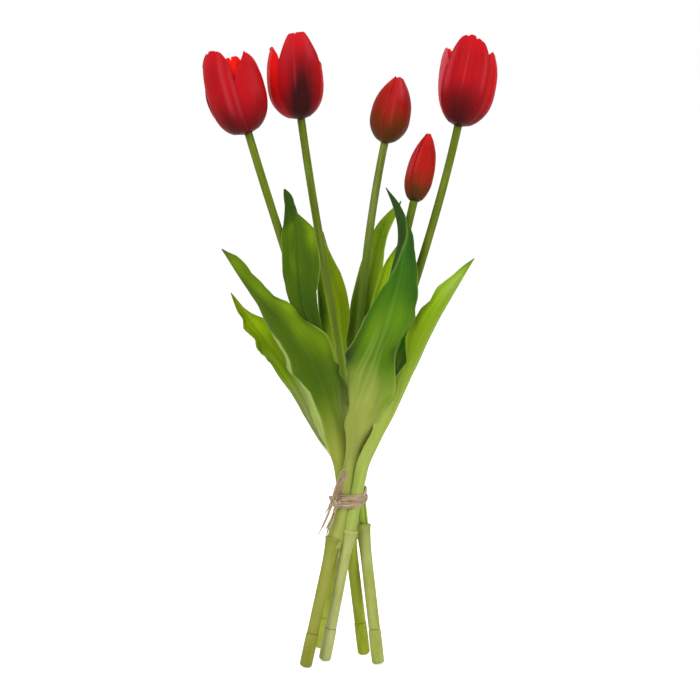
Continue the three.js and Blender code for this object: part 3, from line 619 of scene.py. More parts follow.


# Leaves: sheets swept as the solids are, with their own margins, ruffles and creases, and spots of
# painted highlight and painted shade.
# Left and right are widths of a margin, as shares of the solid's, at places along the blade. Most of
# them come from a fit to margins read off the photo, and were thinned and rounded afterwards.
# A crease has its seats across at places along, its turn and softness, a kind and amount of spot beyond it
# (glow and pale are painted highlight, shade is painted shade), and the amount of a pale line on it, which is
# a painted highlight along the fold.
# A spot of glow, shade or pale has its place along, its side, its length, width and amount. Glow and pale are
# painted highlight, shade is painted shade.
LEAF = dict(start=None, fold=0.8, taper=1.6, ruffle=(0.25, 0.25), waves=2.5, phase=(1.9, 0),
            left=1, right=1, creases=[], glow=[], shade=[], pale=[], green=(0.2, 0.4))
LEAVES = [
    dict(name="leaf_front_left", stem=1, open=158, half=17, fold=0.75, face=70, peak=0.42, taper=1.3,
         ruffle=(0.85, 0.35), waves=3.2, phase=(1.2, 0),
         creases=[([(0, 0.45), (0.14, 0.53), (0.25, 0.62), (0.37, 0.73), (0.55, 0.86), (0.7, 0.95),
                    (0.8, 1.3), (1, 1.5)], 0.2, 0.08, "pale", 0.75, 0.6)],
         left=[(0, 1.9), (0.1, 1.95), (0.15, 1.2), (0.25, 1.05), (0.33, 1.35), (0.42, 0.9), (0.52, 1.3),
               (0.57, 1), (0.69, 1.15), (0.74, 0.8), (0.8, 1.05), (0.86, 1.2), (0.95, 2.6), (1, 1.9)],
         right=[(0, 1.15), (0.12, 1.6), (0.21, 1.15), (0.33, 1.05), (0.42, 1.7), (0.48, 1.4), (0.58, 1.3),
                (0.65, 1.6), (0.73, 1.1), (0.82, 0.7), (0.9, 0.7), (1, 0.5)],
         blade=[(-7, -12.5, 182), (-19, -22, 221), (-35, -26, 249), (-54, -28, 270), (-71, -29, 289.5),
                (-87, -29, 310)],
         glow=[(0.67, -0.75, 0.04, 0.35, 0.9), (0.5, -0.75, 0.05, 0.4, 0.5), (0.58, -0.4, 0.05, 0.3, 0.5),
               (0.79, -0.5, 0.06, 0.4, 0.5), (0.93, 0, 0.06, 1, 0.5), (0.2, -0.5, 0.1, 0.6, 0.3)],
         shade=[(0.42, -0.1, 0.11, 0.4, 0.7), (0.7, 0.1, 0.06, 0.4, 0.6), (0.59, -0.9, 0.03, 0.2, 0.6),
                (0.73, -0.9, 0.02, 0.3, 0.5), (0.44, -0.95, 0.03, 0.25, 0.5), (0.55, 0.3, 0.1, 0.3, 0.4)],
         pale=[(0.1, -0.2, 0.1, 0.9, 0.2), (0.2, -0.85, 0.11, 0.4, 0.85)], green=(0.2, 0.38),
         colours="A8AE54 9EA63C 4A6A0C 4E6C0C 3C4614 36520E 7A9A0E"),
    # Its sheath is pale of its own, and made paler still to paint out the shade that leaf_front_left casts on
    # it.
    dict(name="leaf_low_left", stem=3, open=136, half=12.8, face=300, peak=0.55,
         ruffle=([(0, 0), (0.6, 0.05), (0.68, 0.6), (1, 0.6)], 0.3), waves=4.2, phase=(1.9, 0.6),
         left=[(0, 1.55), (0.13, 1.45), (0.24, 1.25), (0.36, 1.1), (0.5, 0.9), (0.66, 1), (0.72, 1.85),
               (0.78, 0.95), (0.85, 1.6), (0.88, 1.25), (0.92, 1.8), (1, 1.8)],
         right=[(0, 1), (0.64, 1.5), (0.76, 1.45), (0.83, 1.2), (0.88, 0.6), (0.92, 0.3), (1, 0.35)],
         blade=[(-16, 15, 166), (-31, 16.5, 200), (-49, 15, 229), (-66.5, 13, 252), (-83, 11, 275)],
         glow=[(0.82, 0.2, 0.07, 0.5, 0.9), (0.47, -0.4, 0.06, 0.4, 0.4)],
         shade=[(0.7, 0.5, 0.05, 0.4, 0.6), (0.6, 0.2, 0.05, 0.4, 0.6), (0.75, -0.4, 0.025, 0.4, 0.4),
                (0.9, -0.6, 0.03, 0.5, 0.4)],
         pale=[(0.7, -0.8, 0.025, 0.2, 0.5), (0.66, -0.6, 0.02, 0.1, 0.4)], green=(0.44, 0.62),
         colours="EAF2B4 E6EEA6 9CBC28 86A410 66801C 557A16 A4C418"),
    dict(name="leaf_upper_left", stem=1, open=220, start=208, half=14.3, fold=0.4, face=90, peak=0.55,
         ruffle=(0.3, 0.3),
         creases=[([(0, 0.1), (0.3, 0.14), (0.6, 0.2), (0.8, 0.5), (0.9, 1.5), (1, 1.6)],
                   0.3, 0.2, "glow", 0.08, 0),
                  ([(0, 1.6), (0.76, 1.5), (0.82, 0.6), (0.86, -0.3), (0.91, -1.3), (1, -1.4)],
                   0.2, 0.7, "shade", 0.75, 0)],
         left=[(0, 1), (0.16, 1.05), (0.25, 0.85), (0.4, 0.9), (0.48, 0.8), (0.63, 1.15), (0.79, 1.35),
               (0.87, 0.45), (0.92, 0.75), (0.98, 1.9), (1, 1.9)],
         right=[(0, 1), (0.36, 0.5), (0.5, 1), (0.62, 1), (0.7, 1.1), (0.82, 1.5), (0.88, 1.35),
                (0.93, 1.15), (1, 1.55)],
         blade=[(-20, -15.5, 240), (-28.5, -20, 268), (-31.5, -23, 298), (-33, -24.5, 327),
                (-42, -25, 353)],
         glow=[(0.76, -0.75, 0.06, 0.3, 1), (0.42, 0.8, 0.12, 0.3, 0.4)],
         shade=[(0.94, 0, 0.05, 1, 0.7), (0.38, -0.3, 0.14, 0.5, 0.7), (0.5, 0.08, 0.25, 0.08, 0.7)],
         colours="46680E 3E5E0C 3A580A 40600A 25261A 28440E 76980C"),
    # Its colours are lighter than the leaf's own, to paint out the shade of the leaves and stems in front of
    # it.
    dict(name="leaf_back_left", stem=2, open=160, half=13, face=270, peak=0.5,
         left=[(0, 1), (0.36, 0.95), (0.66, 1.25), (0.74, 1.6), (1, 1.9)],
         right=[(0, 1), (0.4, 0.65), (0.45, 0.65), (0.67, 1.05), (0.82, 1.15), (0.93, 0.35)],
         blade=[(1, 32, 199), (-3, 36, 234), (-6, 36.5, 264), (-10, 35, 294), (-15, 31, 319)],
         glow=[(0.72, 0.3, 0.14, 0.4, 0.4), (0.46, 0.1, 0.1, 0.9, 0.9)],
         shade=[(0.64, -0.85, 0.2, 0.45, 1), (0.6, 0.36, 0.12, 0.05, 0.6)],
         colours="E2EE9C CEE036 C4DA2A A4C01C 5C7C1C 2E5818 CCE428"),
    dict(name="leaf_back_right", stem=3, open=190, start=182, half=11.5, face=270, peak=0.55, taper=2.2,
         left=[(0, 1), (0.34, 1.25), (0.63, 0.75), (0.95, 0.65), (0.98, 0.35)],
         right=[(0, 1), (0.46, 0.65), (0.55, 0.65), (0.67, 0.95), (0.76, 0.85), (0.98, 1.25)],
         blade=[(11, 12.5, 216), (14.5, 16.5, 250), (18, 24, 281), (22.5, 30, 303), (29, 32.5, 322),
                (43.5, 34, 342)],
         glow=[(0.78, 0.3, 0.1, 0.7, 0.5)], shade=[(0.45, -0.5, 0.22, 0.5, 0.6)],
         colours="667E18 667E16 6E8A1C 84A420 5C801E 4E6C1A 90AE2C"),
    dict(name="leaf_front_right", stem=4, open=150, half=19, fold=0.9, face=90, peak=0.42, taper=1.3,
         ruffle=([(0, 0.6), (0.6, 0.6), (1, 0.4)], [(0, 0.6), (0.5, 0.6), (0.65, 0.1), (1, 0)]), waves=3.4,
         phase=(2.6, 0.6),
         creases=[([(0, 1.6), (0.62, 1.5), (0.66, 1), (0.72, 0.4), (0.8, 0.1), (0.86, -0.35), (0.91, -1.3),
                    (1, -1.4)], 0.7, 0.08, "shade", 1, 0.35)],
         left=[(0, 1.45), (0.1, 1.3), (0.17, 1.5), (0.28, 1.45), (0.37, 1.2), (0.43, 0.85), (0.47, 0.75),
               (0.52, 1.3), (0.59, 1.55), (0.7, 1.2), (0.74, 1.3), (0.8, 0.95), (0.84, 1.05), (0.88, 0.65),
               (0.96, 0.95), (1, 0.75)],
         right=[(0, 1), (0.23, 0.3), (0.3, 0.8), (0.36, 1.55), (0.43, 1.15), (0.51, 1), (0.58, 1.1),
                (0.68, 0.75), (0.72, 1.1), (0.77, 1.3), (0.86, 2.15), (0.94, 2.3), (1, 1.9)],
         blade=[(6, -25, 185), (13.5, -31.5, 207), (26, -35, 241), (35, -36, 270), (42, -35, 297),
                (45, -32, 320), (40, -29, 338), (31, -27, 354)],
         glow=[(0.52, 0.4, 0.08, 0.3, 0.4), (0.57, -0.3, 0.06, 0.4, 0.3), (0.3, -0.95, 0.04, 0.25, 1)],
         pale=[(0.4, -0.02, 0.18, 0.05, 0.25), (0.4, 0.2, 0.14, 0.05, 0.3), (0.36, -0.2, 0.12, 0.06, 0.25),
               (0.45, 0.32, 0.1, 0.04, 0.25)],
         shade=[(0.8, -0.5, 0.07, 0.5, 0.9), (0.68, -0.3, 0.05, 0.5, 0.3), (0.4, 0.85, 0.06, 0.4, 1),
                (0.66, -0.95, 0.07, 0.3, 0.6), (0.46, -0.85, 0.035, 0.3, 0.7), (0.5, 0.9, 0.06, 0.2, 0.5)],
         green=(0.38, 0.5), colours="A8B05C 9EA84C 547C10 266C14 1C2A1C 1E4212 78A21A"),
    dict(name="leaf_far_right", stem=5, open=146, half=15, fold=0.9, face=122, peak=0.45,
         ruffle=(0.05, 0.5), waves=3, phase=(1.9, 0.4),
         left=[(0, 1.2), (0.25, 0.75), (0.33, 0.7), (0.4, 0.85), (0.54, 0.9), (0.63, 1.05), (0.79, 1.3),
               (0.88, 1.6), (0.95, 1.45), (1, 0.9)],
         right=[(0, 1.1), (0.25, 1.05), (0.31, 0.95), (0.37, 0.4), (0.45, 0.45), (0.52, 0.15), (0.61, 0.85),
                (0.73, 1), (0.77, 0.8), (0.83, 1.15), (0.9, 0.9), (0.96, 1.2), (1, 1.2)],
         blade=[(25.5, -15.5, 166), (37, -16, 191), (47, -17, 222), (60.5, -16.5, 253), (77, -14, 280),
                (95.5, -12, 302)],
         glow=[(0.78, 0.4, 0.08, 0.5, 0.5), (0.9, 0, 0.06, 0.8, 0.5)], shade=[(0.6, 0.7, 0.06, 0.3, 0.4)],
         pale=[(0.15, 0.4, 0.2, 0.5, 0.3), (0.5, -0.55, 0.3, 0.12, 0.3), (0.88, 0.1, 0.07, 0.6, 0.4)],
         green=(0.36, 0.6), colours="ACBC5C A6B850 88A61E 84A810 5A7A14 668E12 9CC016"),
    dict(name="leaf_inner_right", stem=4, open=200, start=192, half=9, face=265, peak=0.45, waves=2,
         left=[(0, 1), (0.4, 1.1), (0.6, 1.3), (0.8, 1.4), (0.9, 1.9), (0.98, 1.85), (1, 1.15)],
         blade=[(23, -2.5, 227), (29, -2.5, 260), (33.5, -3, 288), (40, -4, 311)],
         colours="9CB434 9CB82A 9CBE20 A0C61E 74981A 709818 B0D022"),
    # Its colours are lighter than the leaf's own, to paint out the shade between leaf_front_right and
    # leaf_far_right.
    dict(name="leaf_short_right", stem=5, open=196, start=188, half=9, face=260, peak=0.45,
         ruffle=(0.35, 0.35), waves=2, left=[(0, 2), (0.3, 1.7), (0.6, 1.4), (1, 1)],
         right=[(0, 2), (0.3, 1.5), (0.6, 1.3), (1, 1)],
         blade=[(33, -6.5, 209), (41.5, -3.5, 228), (48.6, -1.5, 252)], glow=[(0.12, 0.6, 0.1, 0.8, 1)],
         green=(0.34, 0.5), colours="D8EA50 D4E650 B8D878 68AE30 4A801C 508A2A DCEC3C"),
]
# Part of the colours' run along a leaf that its sheath takes
SHEATH_SHARE = 0.12


def over(values, t):
    """A number, or a list of places and values, read along t."""
    return np.full_like(t, values) if np.isscalar(values) else np.interp(t, *zip(*values))


def by_side(u, t, left, right):
    """One value left of the middle and another right of it, each read along t."""
    return np.where(u < 0, over(left, t), over(right, t))


def from_middle(steps):
    """Distances of the columns of a sheet from its middle one, from the steps between them."""
    total = np.pad(np.cumsum(steps, axis=1), ((0, 0), (1, 0)))
    return total - total[:, LEAF_SIDE, None]


def leaf_sheet(leaf, axis):
    """A sheath or clasp round the stem that opens into a blade."""
    blade = np.array(leaf.blade, float)
    out = unit((blade[0] - axis.at(blade[0][2])) * [1, 1, 0])
    low = leaf.start or axis.foot[2] + (axis.collar - SHEATH_DEPTH + CLEARANCE) * axis.up[2]
    wrap = CLASP_WRAP if leaf.start else SHEATH_WRAP
    count = math.ceil((leaf.open - low) / LEAF_PITCH)
    heights = np.linspace(low, leaf.open, count + 1)
    sheath = np.array([axis.at(h) + square(out, axis.along(h)) * SHEATH_MIDDLE for h in heights])
    curve = Through(np.vstack([sheath, blade]))
    curve.slopes[count] = unit(sheath[count] - sheath[count - 1])
    opening = curve.knots[count - 1] / curve.length
    s = np.linspace(0, 1, LEAF_ROWS)
    point, along = curve.at(s), curve.direction(s)
    s = s[:, None]
    t = np.maximum(0, (s - opening) / (1 - opening))
    rising = mix(wrap * SHEATH_MIDDLE, leaf.half, smooth(t / leaf.peak))
    falling = mix(leaf.half, 0.25, np.clip((t - leaf.peak) / (1 - leaf.peak), 0, 1) ** leaf.taper)
    half = np.where(t < leaf.peak, rising, falling)
    roll = mix(wrap, leaf.fold, smooth(t / UNROLL_SPAN))
    turn = smooth((t - TURN_START) / TURN_SPAN)
    inner = square(mix(-out, heading(leaf.face), turn), along)
    across = np.cross(along, inner)[:, None]
    inner = inner[:, None]

    u = np.linspace(-1, 1, 2 * LEAF_SIDE + 1)
    reach = np.abs(u)
    fade = smooth(t / 0.3) * smooth((1 - t) / 0.25)
    phase = np.where(u < 0, *leaf.phase)
    rate = 2 * math.pi * leaf.waves * t
    ripple = np.sin(rate + phase) + 0.45 * np.sin(2.55 * rate + 2 * phase)
    ruffle = by_side(u, t, *leaf.ruffle) * fade * ripple
    angle = roll * u + ruffle * np.sign(u) * smooth((reach - 0.35) / 0.65)
    # Painted highlight (glow, pale) and painted shade (shade), laid beyond creases, along them and in spots
    spots = {key: np.zeros_like(angle) for key in ("glow", "shade", "pale")}
    for seats, amount, soft, key, paint, line in leaf.creases:
        aside = u - over(seats, t)
        beyond = smooth(aside / soft + 0.5)
        angle = angle + amount * beyond * smooth((t - 0.05) / 0.2)
        spots[key] += paint * beyond * smooth(t / 0.1)
        spots["pale"] += line * bell(aside, 0.05) * smooth((t - 0.05) / 0.15)
    for key in spots:
        for place, side, length, width, amount in getattr(leaf, key):
            spots[key] += amount * bell(t - place, length) * bell(u - side, width)
        spots[key] = np.clip(spots[key], 0, 1)

    bend = (angle[:, 1:] + angle[:, :-1]) / 2
    step = half * by_side((u[1:] + u[:-1]) / 2, t, leaf.left, leaf.right) / LEAF_SIDE
    x, y = from_middle(step * np.cos(bend)), from_middle(step * np.sin(bend))
    widths = half * by_side(u, t, leaf.left, leaf.right)
    opened = smooth(t / 0.3) * smooth((1 - t) / 0.1)
    y = y - 0.7 * opened * bell(u * widths, 1.8)
    for seat, height in ((0.28, 0.16), (0.55, -0.16), (0.8, 0.16)):
        y = y + height * opened * bell((reach - seat) * widths, 1.1)
    sheet = point[:, None] + across * x[..., None] + inner * y[..., None]
    normal = inner * np.cos(angle)[..., None] - across * np.sin(angle)[..., None]
    thick = mix(LEAF_THICKNESS, 0.4, reach * smooth(t / UNROLL_SPAN))[..., None] / 2
    place = np.where(t > 0, mix(SHEATH_SHARE, 1, t), SHEATH_SHARE * s / max(opening, 1e-6))
    front, back = sheet + normal * thick, sheet - normal * thick
    return shell(front, back, across=u, along=place, under=(0.0, 1.0), **spots)


for index, own in enumerate(LEAVES):
    leaf = SimpleNamespace(**{**LEAF, **own})
    paint = leaf_material(f"{leaf.name}_green", 11.0 * index, *leaf.colours.split(), leaf.green)
    parts = [leaf_sheet(leaf, axes[leaf.stem - 1])]
    make(f"{leaf.name}_blade", parts, paint, "bouquet", leaf.name)


# Heads: the form of each cup, then what each petal has of its own.
# Seats across a petal run from -1 to 1 and places along it from 0 to 1.
# A notch has its seat, depth and width. A fold has its seat, width and height.
# A dark base has its seat, width, top and amount. It is the petal's own dark base, and where it runs wide or
# high it is painted shade. A light, a painted pink highlight, has its seat, width, two ends and amount.
PETAL = dict(tall=1, sweep=1, foot=1, blunt=0.1, crown=1.5, peak=0, stand=0.85, spiral=0, rib=0.25, rib_at=0,
             edge=0.4, shift=0, fullness=0.68, glow=0, notches=[], lights=[], stains=[(0, 0.5, 0.3, 0.7)],
             folds=[(0, 0.12, -0.5), (0.3, 0.14, 0.35), (-0.3, 0.14, 0.35)])
INNER = dict(stand=0.75, glow=0.6, stains=[(0, 0.5, 0.25, 0.6)])
# A bud's petals overlap and reach its tip
BUD = dict(sweep=1.42, spiral=0.4, blunt=0.8, point=0.7)
HEADS = [
    dict(kind="bloom", height=62, belly=20.2, waist=0.42, mouth=13, shoulder=0.45, point=0.6, flare=1,
         outer=[
             dict(turn=54, tall=0.9, sweep=1.04, spiral=-0.3, shoulder=0.32, point=0.8, stand=0.5,
                  fullness=0.6, glow=0.1, lights=[(-0.1, 0.2, 0.3, 0.9, 0.2)], stains=[(0, 0.6, 0.3, 0.5)]),
             dict(turn=-160, tall=0.8, sweep=1.2, belly=20.9, stains=[(0, 2, 0.5, 0.8)]),
             dict(turn=-51, sweep=0.97, spiral=0.3, shoulder=0.74, point=0.5, blunt=0.62, stand=0.9,
                  fullness=0.5, crown=4.5, peak=0.35, notches=[(0.1, 1.3, 0.1)],
                  stains=[(0.3, 0.45, 0.42, 0.58)],
                  folds=[(0, 0.12, -0.4), (0.62, 0.09, 0.6), (0.8, 0.05, -0.6), (-0.35, 0.12, 0.4)],
                  lights=[(0.62, 0.09, 0.15, 1, 0.3), (-0.35, 0.12, 0.35, 1, 0.25),
                          (0.9, 0.05, 0.1, 0.9, 0.3)]),
         ],
         inner=[
             dict(turn=12, tall=0.88, sweep=0.5, shoulder=0.7, point=0.4, blunt=0.6, glow=0.95, crown=0.5,
                  notches=[(0.1, 2.5, 0.1)]),
             dict(turn=240, tall=0.8, glow=0.1),
             dict(turn=-8, tall=0.86, sweep=0.5, stand=1.6),
         ]),
    dict(kind="bloom", height=64, belly=20, waist=0.4, mouth=7, shoulder=0.42, point=0.55, shift=4.8,
         flare=0.5,
         outer=[
             dict(turn=9, tall=0.97, sweep=0.87, foot=0.8, shoulder=0.46, point=0.5, blunt=0.62, shift=4.2,
                  crown=0.6, fullness=0.55, notches=[(-0.23, 1, 0.06)], rib=0.35, rib_at=-0.23,
                  lights=[(-0.23, 0.023, 0.35, 0.95, 0.3), (-0.69, 0.23, 0.5, 1.1, 0.1),
                          (0.57, 0.23, 0.6, 1.1, 0.25)],
                  stains=[(0.08, 0.54, 0.92, 0.9), (-0.29, 0.52, 0.6, 0.6)]),
             dict(turn=66, tall=0.72, shoulder=0.3, point=0.7, blunt=0.03, stand=0.1, belly=18.7, mouth=2,
                  shift=3.8, crown=2.5, peak=-0.5, fullness=0.55, flare=0, glow=0.4,
                  lights=[(0, 0.8, 0, 1.2, 0.15)], stains=[(0, 0.8, 0.2, 0.5)]),
             dict(turn=-80, tall=0.84, sweep=0.8, spiral=-1.3, shoulder=0.74, point=0.5, blunt=0.45,
                  stand=0.5, belly=20.4, mouth=12.5, fullness=0.55, glow=0.95, flare=0.3, crown=3,
                  stains=[(0, 0.8, 0.3, 0.6)]),
         ],
         inner=[
             dict(turn=58, tall=0.62, glow=0.1, belly=18, mouth=8),
             dict(turn=180, tall=0.8, glow=0.1),
             dict(turn=-62, tall=0.6, glow=1),
         ]),
    dict(kind="bud", height=48, belly=13.4, waist=0.36, mouth=2.6, shoulder=0.66, point=0.9, flare=0,
         inner=[],
         outer=[
             dict(BUD, turn=19, mouth=1.4,
                  lights=[(0.1, 0.25, 0.6, 1.15, 0.45), (-0.2, 0.05, 0.2, 0.9, 0.2)],
                  stains=[(0.15, 0.6, 0.72, 0.6)]),
             dict(BUD, turn=139, mouth=1.4),
             dict(BUD, turn=259, mouth=1.4, stains=[(0, 2, 0.8, 0.5)]),
         ]),
    dict(kind="bud", height=49, belly=8.8, waist=0.33, mouth=2.2, shoulder=0.66, point=0.9, flare=0,
         inner=[],
         outer=[
             dict(BUD, turn=-1, mouth=0.6, crown=4, lights=[(-0.3, 0.06, 0.3, 0.9, 0.25)]),
             dict(BUD, turn=119, mouth=0.6, crown=4),
             dict(BUD, turn=239, mouth=0.6, crown=4, lights=[(0.9, 0.3, 0.2, 1, 0.25)]),
         ]),
    dict(kind="bloom", height=64, belly=20, waist=0.4, mouth=11.5, shoulder=0.42, point=0.6, flare=1.5,
         outer=[
             dict(turn=-8, sweep=0.9, shoulder=0.48, point=0.5, blunt=0.5, crown=2.5, peak=-0.2, shift=-1.2,
                  rib_at=-0.07, rib=0.3, fullness=0.6, stains=[(-0.05, 0.75, 0.55, 0.76)],
                  notches=[(-0.6, 1.2, 0.15), (0.4, 1.6, 0.15)],
                  lights=[(-0.07, 0.025, 0.3, 0.95, 0.35), (-0.75, 0.12, 0.25, 1, 0.4),
                          (0.72, 0.08, 0.3, 1, 0.25)]),
             dict(turn=64, tall=0.88, sweep=0.95, shoulder=0.6, blunt=0.16, stand=0.4, mouth=9.5,
                  fullness=0.6, flare=0.3, glow=0.3,
                  lights=[(0.25, 0.1, 0.2, 0.95, 0.4), (0.7, 0.1, 0.2, 0.95, 0.3)],
                  folds=[(0.25, 0.12, 0.6), (-0.2, 0.14, -0.5)]),
             dict(turn=-86, tall=0.83, sweep=0.65, shoulder=0.6, blunt=0.2, stand=0.3, spiral=-0.6,
                  belly=21.2, waist=0.72, mouth=8, fullness=0.58, edge=0, flare=0,
                  lights=[(0.2, 0.6, 0, 1.2, 1.3)]),
         ],
         inner=[
             dict(turn=50, tall=0.8, stand=0.6),
             dict(turn=180, tall=0.85, glow=0.1),
             dict(turn=-66, tall=0.81, sweep=0.5, shoulder=0.6, blunt=0.5, belly=18, mouth=20, shift=-6,
                  glow=1),
         ]),
]
CUP_BASE_RADIUS = 3.3
CUP_BASE_HEIGHT = 0.5
CUP_CLOSING = 1.3
# Socket for the peg, in the heart of a head
SOCKET_RADIUS = 2.25
SOCKET_TOP = 9.4


def turn_to(direction):
    """Rotation that takes +Z to a direction by the shortest way."""
    return np.array(Vector((0, 0, 1)).rotation_difference(Vector(direction)).to_matrix())


def cup(head, v):
    """Radius and height of a head's wall at shares of its height."""
    opening = np.clip(v / head.waist, 0, 1) ** head.fullness
    closing = np.clip((v - head.waist) / (1 - head.waist), 0, 1.05) ** CUP_CLOSING
    low = mix(CUP_BASE_RADIUS, head.belly, np.sin(QUARTER * opening))
    high = mix(head.mouth, head.belly, np.cos(QUARTER * closing))
    return np.where(v < head.waist, low, high), mix(CUP_BASE_HEIGHT, head.height, v)


def petal_sheet(p, place, rotation, side):
    """One petal: a patch of the cup's wall with a rib, soft folds, a shaped tip and curled edges."""
    rows = np.linspace(0, 1, PETAL_ROWS)
    t = mix(rows, 1 - (1 - rows) ** 2, 0.45)[:, None]
    u = np.linspace(-1, 1, 2 * PETAL_SIDE + 1)
    reach = np.abs(u)
    narrow = np.clip((t - p.shoulder) / (1 - p.shoulder), 0, 1)
    shrink = mix(p.blunt, 1, np.maximum(0, 1 - narrow ** 2) ** p.point) * mix(p.foot, 1, smooth(t / 0.45))
    aside = u * shrink
    angle = math.radians(p.turn) + aside * p.sweep
    drop = p.crown * (u - p.peak) ** 2
    for seat, depth, width in p.notches:
        drop = drop + depth * bell(u - seat, width)
    v = t * p.tall - drop * smooth((t - 0.55) / 0.45) / p.height
    radius, height = cup(p, v)
    slope_r, slope_z = np.subtract(cup(p, v + NEAR), cup(p, np.maximum(0, v - NEAR)))
    length = np.hypot(slope_r, slope_z)
    normal_r, normal_z = slope_z / length, -slope_r / length

    relief = p.rib * bell((u - p.rib_at) * shrink, 0.035) * smooth(t / 0.15) * smooth((1 - t) / 0.2)
    for seat, width, amount in p.folds:
        relief = relief + amount * bell(aside - seat, width) * smooth(t / 0.3) * smooth((1.1 - t) / 0.4)
    relief = relief + p.edge * reach ** 5 * smooth((t - 0.25) / 0.5)
    relief = relief + 0.25 * wave(t * 1.5 + 0.2 * u, p.seed) * reach ** 2 * smooth(t / 0.3)
    surface = side * p.stand + p.spiral * u * smooth(t / 0.25) + p.belly / 20 * relief
    thick = mix(0.75, 0.3, np.maximum(reach, smooth((t - 0.8) / 0.2))) / 2
    grids = []
    for level in (surface + thick, surface - thick):
        r = radius + normal_r * level + p.flare * t ** 3
        local = [r * np.sin(angle) + p.shift * v ** 2, -r * np.cos(angle), height + normal_z * level]
        grids.append(np.stack(local, -1) @ rotation.T + place)

    # Painted glow of light shining through the petal, stronger towards its top
    glow = p.glow * mix(0.35, 1, smooth((t - 0.2) / 0.6))
    dark = pale = 0.0
    # The petal's own dark base, which is painted shade where it runs wide or high
    for seat, width, top, amount in p.stains:
        dark = dark + amount * bell(aside - seat, width) * smooth((top - t) / min(0.75 * top, 0.45))
    # Painted pink highlights
    for seat, width, low, high, amount in p.lights:
        pale = pale + amount * bell(aside - seat, width) * smooth((t - low) / 0.2) * smooth((high - t) / 0.25)
    spots = {key: np.clip(value, 0, 1) for key, value in (("dark", dark), ("glow", glow), ("pale", pale))}
    return shell(*grids, across=u, along=t, **spots)


def bloom_core(place, rotation):
    """Seat of the petals with a ribbed pistil, a three-lobed stigma and six stamens."""
    profile = np.array([
        (SOCKET_RADIUS, SOCKET_TOP, 0.0), (2.35, 0.35, 0.0), (2.9, 0.35, 0.0), (3.1, 1.0, 0.0),
        (3.9, 4.0, 0.0), (4.2, 8.0, 0.05), (3.8, 10.0, 0.15), (2.7, 11.4, 0.25), (2.3, 13.0, 0.3),
        (2.1, 18.0, 0.3), (1.85, 23.0, 0.33), (2.4, 24.6, 0.45), (2.8, 25.8, 0.58), (2.3, 26.6, 0.6),
        (0.5, 26.9, 0.6),
    ])
    r, z, part = profile.T
    lobes = 1 + 0.14 * np.cos(3 * spins(CORE_SIDES)) * smooth((z - 10) / 6)[:, None]
    rings = level_rings(r[:, None] * lobes, z)
    parts = [tube(rings @ rotation.T + place, part=part[:, None])]
    for k in range(6):
        out = heading(60 * k)
        stalk = Through([out * r + [0, 0, z] for r, z in ((3.3, 9.2), (4.4, 12.5), (5.2, 15.8))])
        s = np.linspace(0, 1, 8)
        rings = circles(stalk.at(s), stalk.direction(s), 0.62, 10)
        parts.append(tube(rings @ rotation.T + place, part=0.66))
        s = np.linspace(0, 1, 12)
        anther = out * 5.3 + np.stack([0 * s, 0 * s, 15.4 + 8.4 * s], -1)
        swell = 1.25 * np.sqrt(np.maximum(0.02, 1 - (2 * s - 1) ** 4))
        rings = circles(anther, np.broadcast_to([0.0, 0, 1], anther.shape), swell, 12)
        parts.append(tube(rings @ rotation.T + place, part=1.0))
    return parts


def bud_core(head, place, rotation):
    """Closed heart of a bud under its petals."""
    r, z = cup(head, np.linspace(0.02, 0.93, 30))
    r = np.concatenate([[SOCKET_RADIUS, 2.3, 2.9], np.maximum(0.5, r - 1.1), [0.2]])
    z = np.concatenate([[0.4, 0.4], z + 0.2, [head.height * 0.94]])
    run = np.concatenate([[0.0], z])
    spin = spins(CORE_SIDES)
    folds = 1 + 0.02 * np.sin(3 * spin) * smooth(run / 20)[:, None]
    rings = level_rings(r[:, None] * folds, np.concatenate([[SOCKET_TOP], z]))
    along = (run / head.height)[:, None]
    return [tube(rings @ rotation.T + place, across=np.sin(spin), along=along, dark=0.0, glow=0.0, pale=0.0)]


petal_red = petal_material("petal_red", 1.0, "541416", "861016", "B4121A", "CE1822", "341012", "EE1612")
inner_red = petal_material("petal_inner_red", 5.0, "601014", "A81216", "D0161A", "DC2628", "3A1416", "F61A12")
bud_red = petal_material("bud_red", 9.0, "583812", "722C10", "AC1A14", "D02422", "3E3410", "D81818")
bud_heart = petal_material("bud_heart_red", 14.0, "4A401A", "62381A", "9C1C1A", "B42628", "4A401A", "C81818")
core_paint = core_material()

for number, head in enumerate(HEADS, 1):
    axis = axes[number - 1]
    place, rotation = axis.top, turn_to(axis.end)
    kind, body = head["kind"], f"head_{number}"
    if kind == "bud":
        core = bud_core(SimpleNamespace(**{**PETAL, **head}), place, rotation)
        make(f"bud_{number}_heart", core, bud_heart, body, f"bud_{number}_core")
    else:
        core = bloom_core(place, rotation)
        make(f"bloom_{number}_middle", core, core_paint, body, f"bloom_{number}_core")
    for ring, side, shared in (("outer", 1, {}), ("inner", -1, INNER)):
        paint = bud_red if kind == "bud" else petal_red if side > 0 else inner_red
        for k, own in enumerate(head[ring]):
            seed = 100 * number + 10 * k + (side > 0)
            style = {**PETAL, **head, "flare": side * head["flare"], **shared, **own, "seed": seed}
            parts = [petal_sheet(SimpleNamespace(**style), place, rotation, side)]
            make(f"{kind}_{number}_{ring}_petal_{k + 1}", parts, paint, body,
                 f"{kind}_{number}_{ring}_tepal_{k + 1}")

# Raffia: flat strands round the bundle, a knot, a loop and frayed tails
RAFFIA_SLACK = 0.45
RAFFIA_HALF_THICKNESS = 0.6
KNOT_ANGLE = 235
BUNDLE_CENTRE = np.array([4.0, -2.0, 0.0])
WRAP_HEIGHT = 120.6
WRAP_PITCH = 5.4
WRAP_TURNS = 2


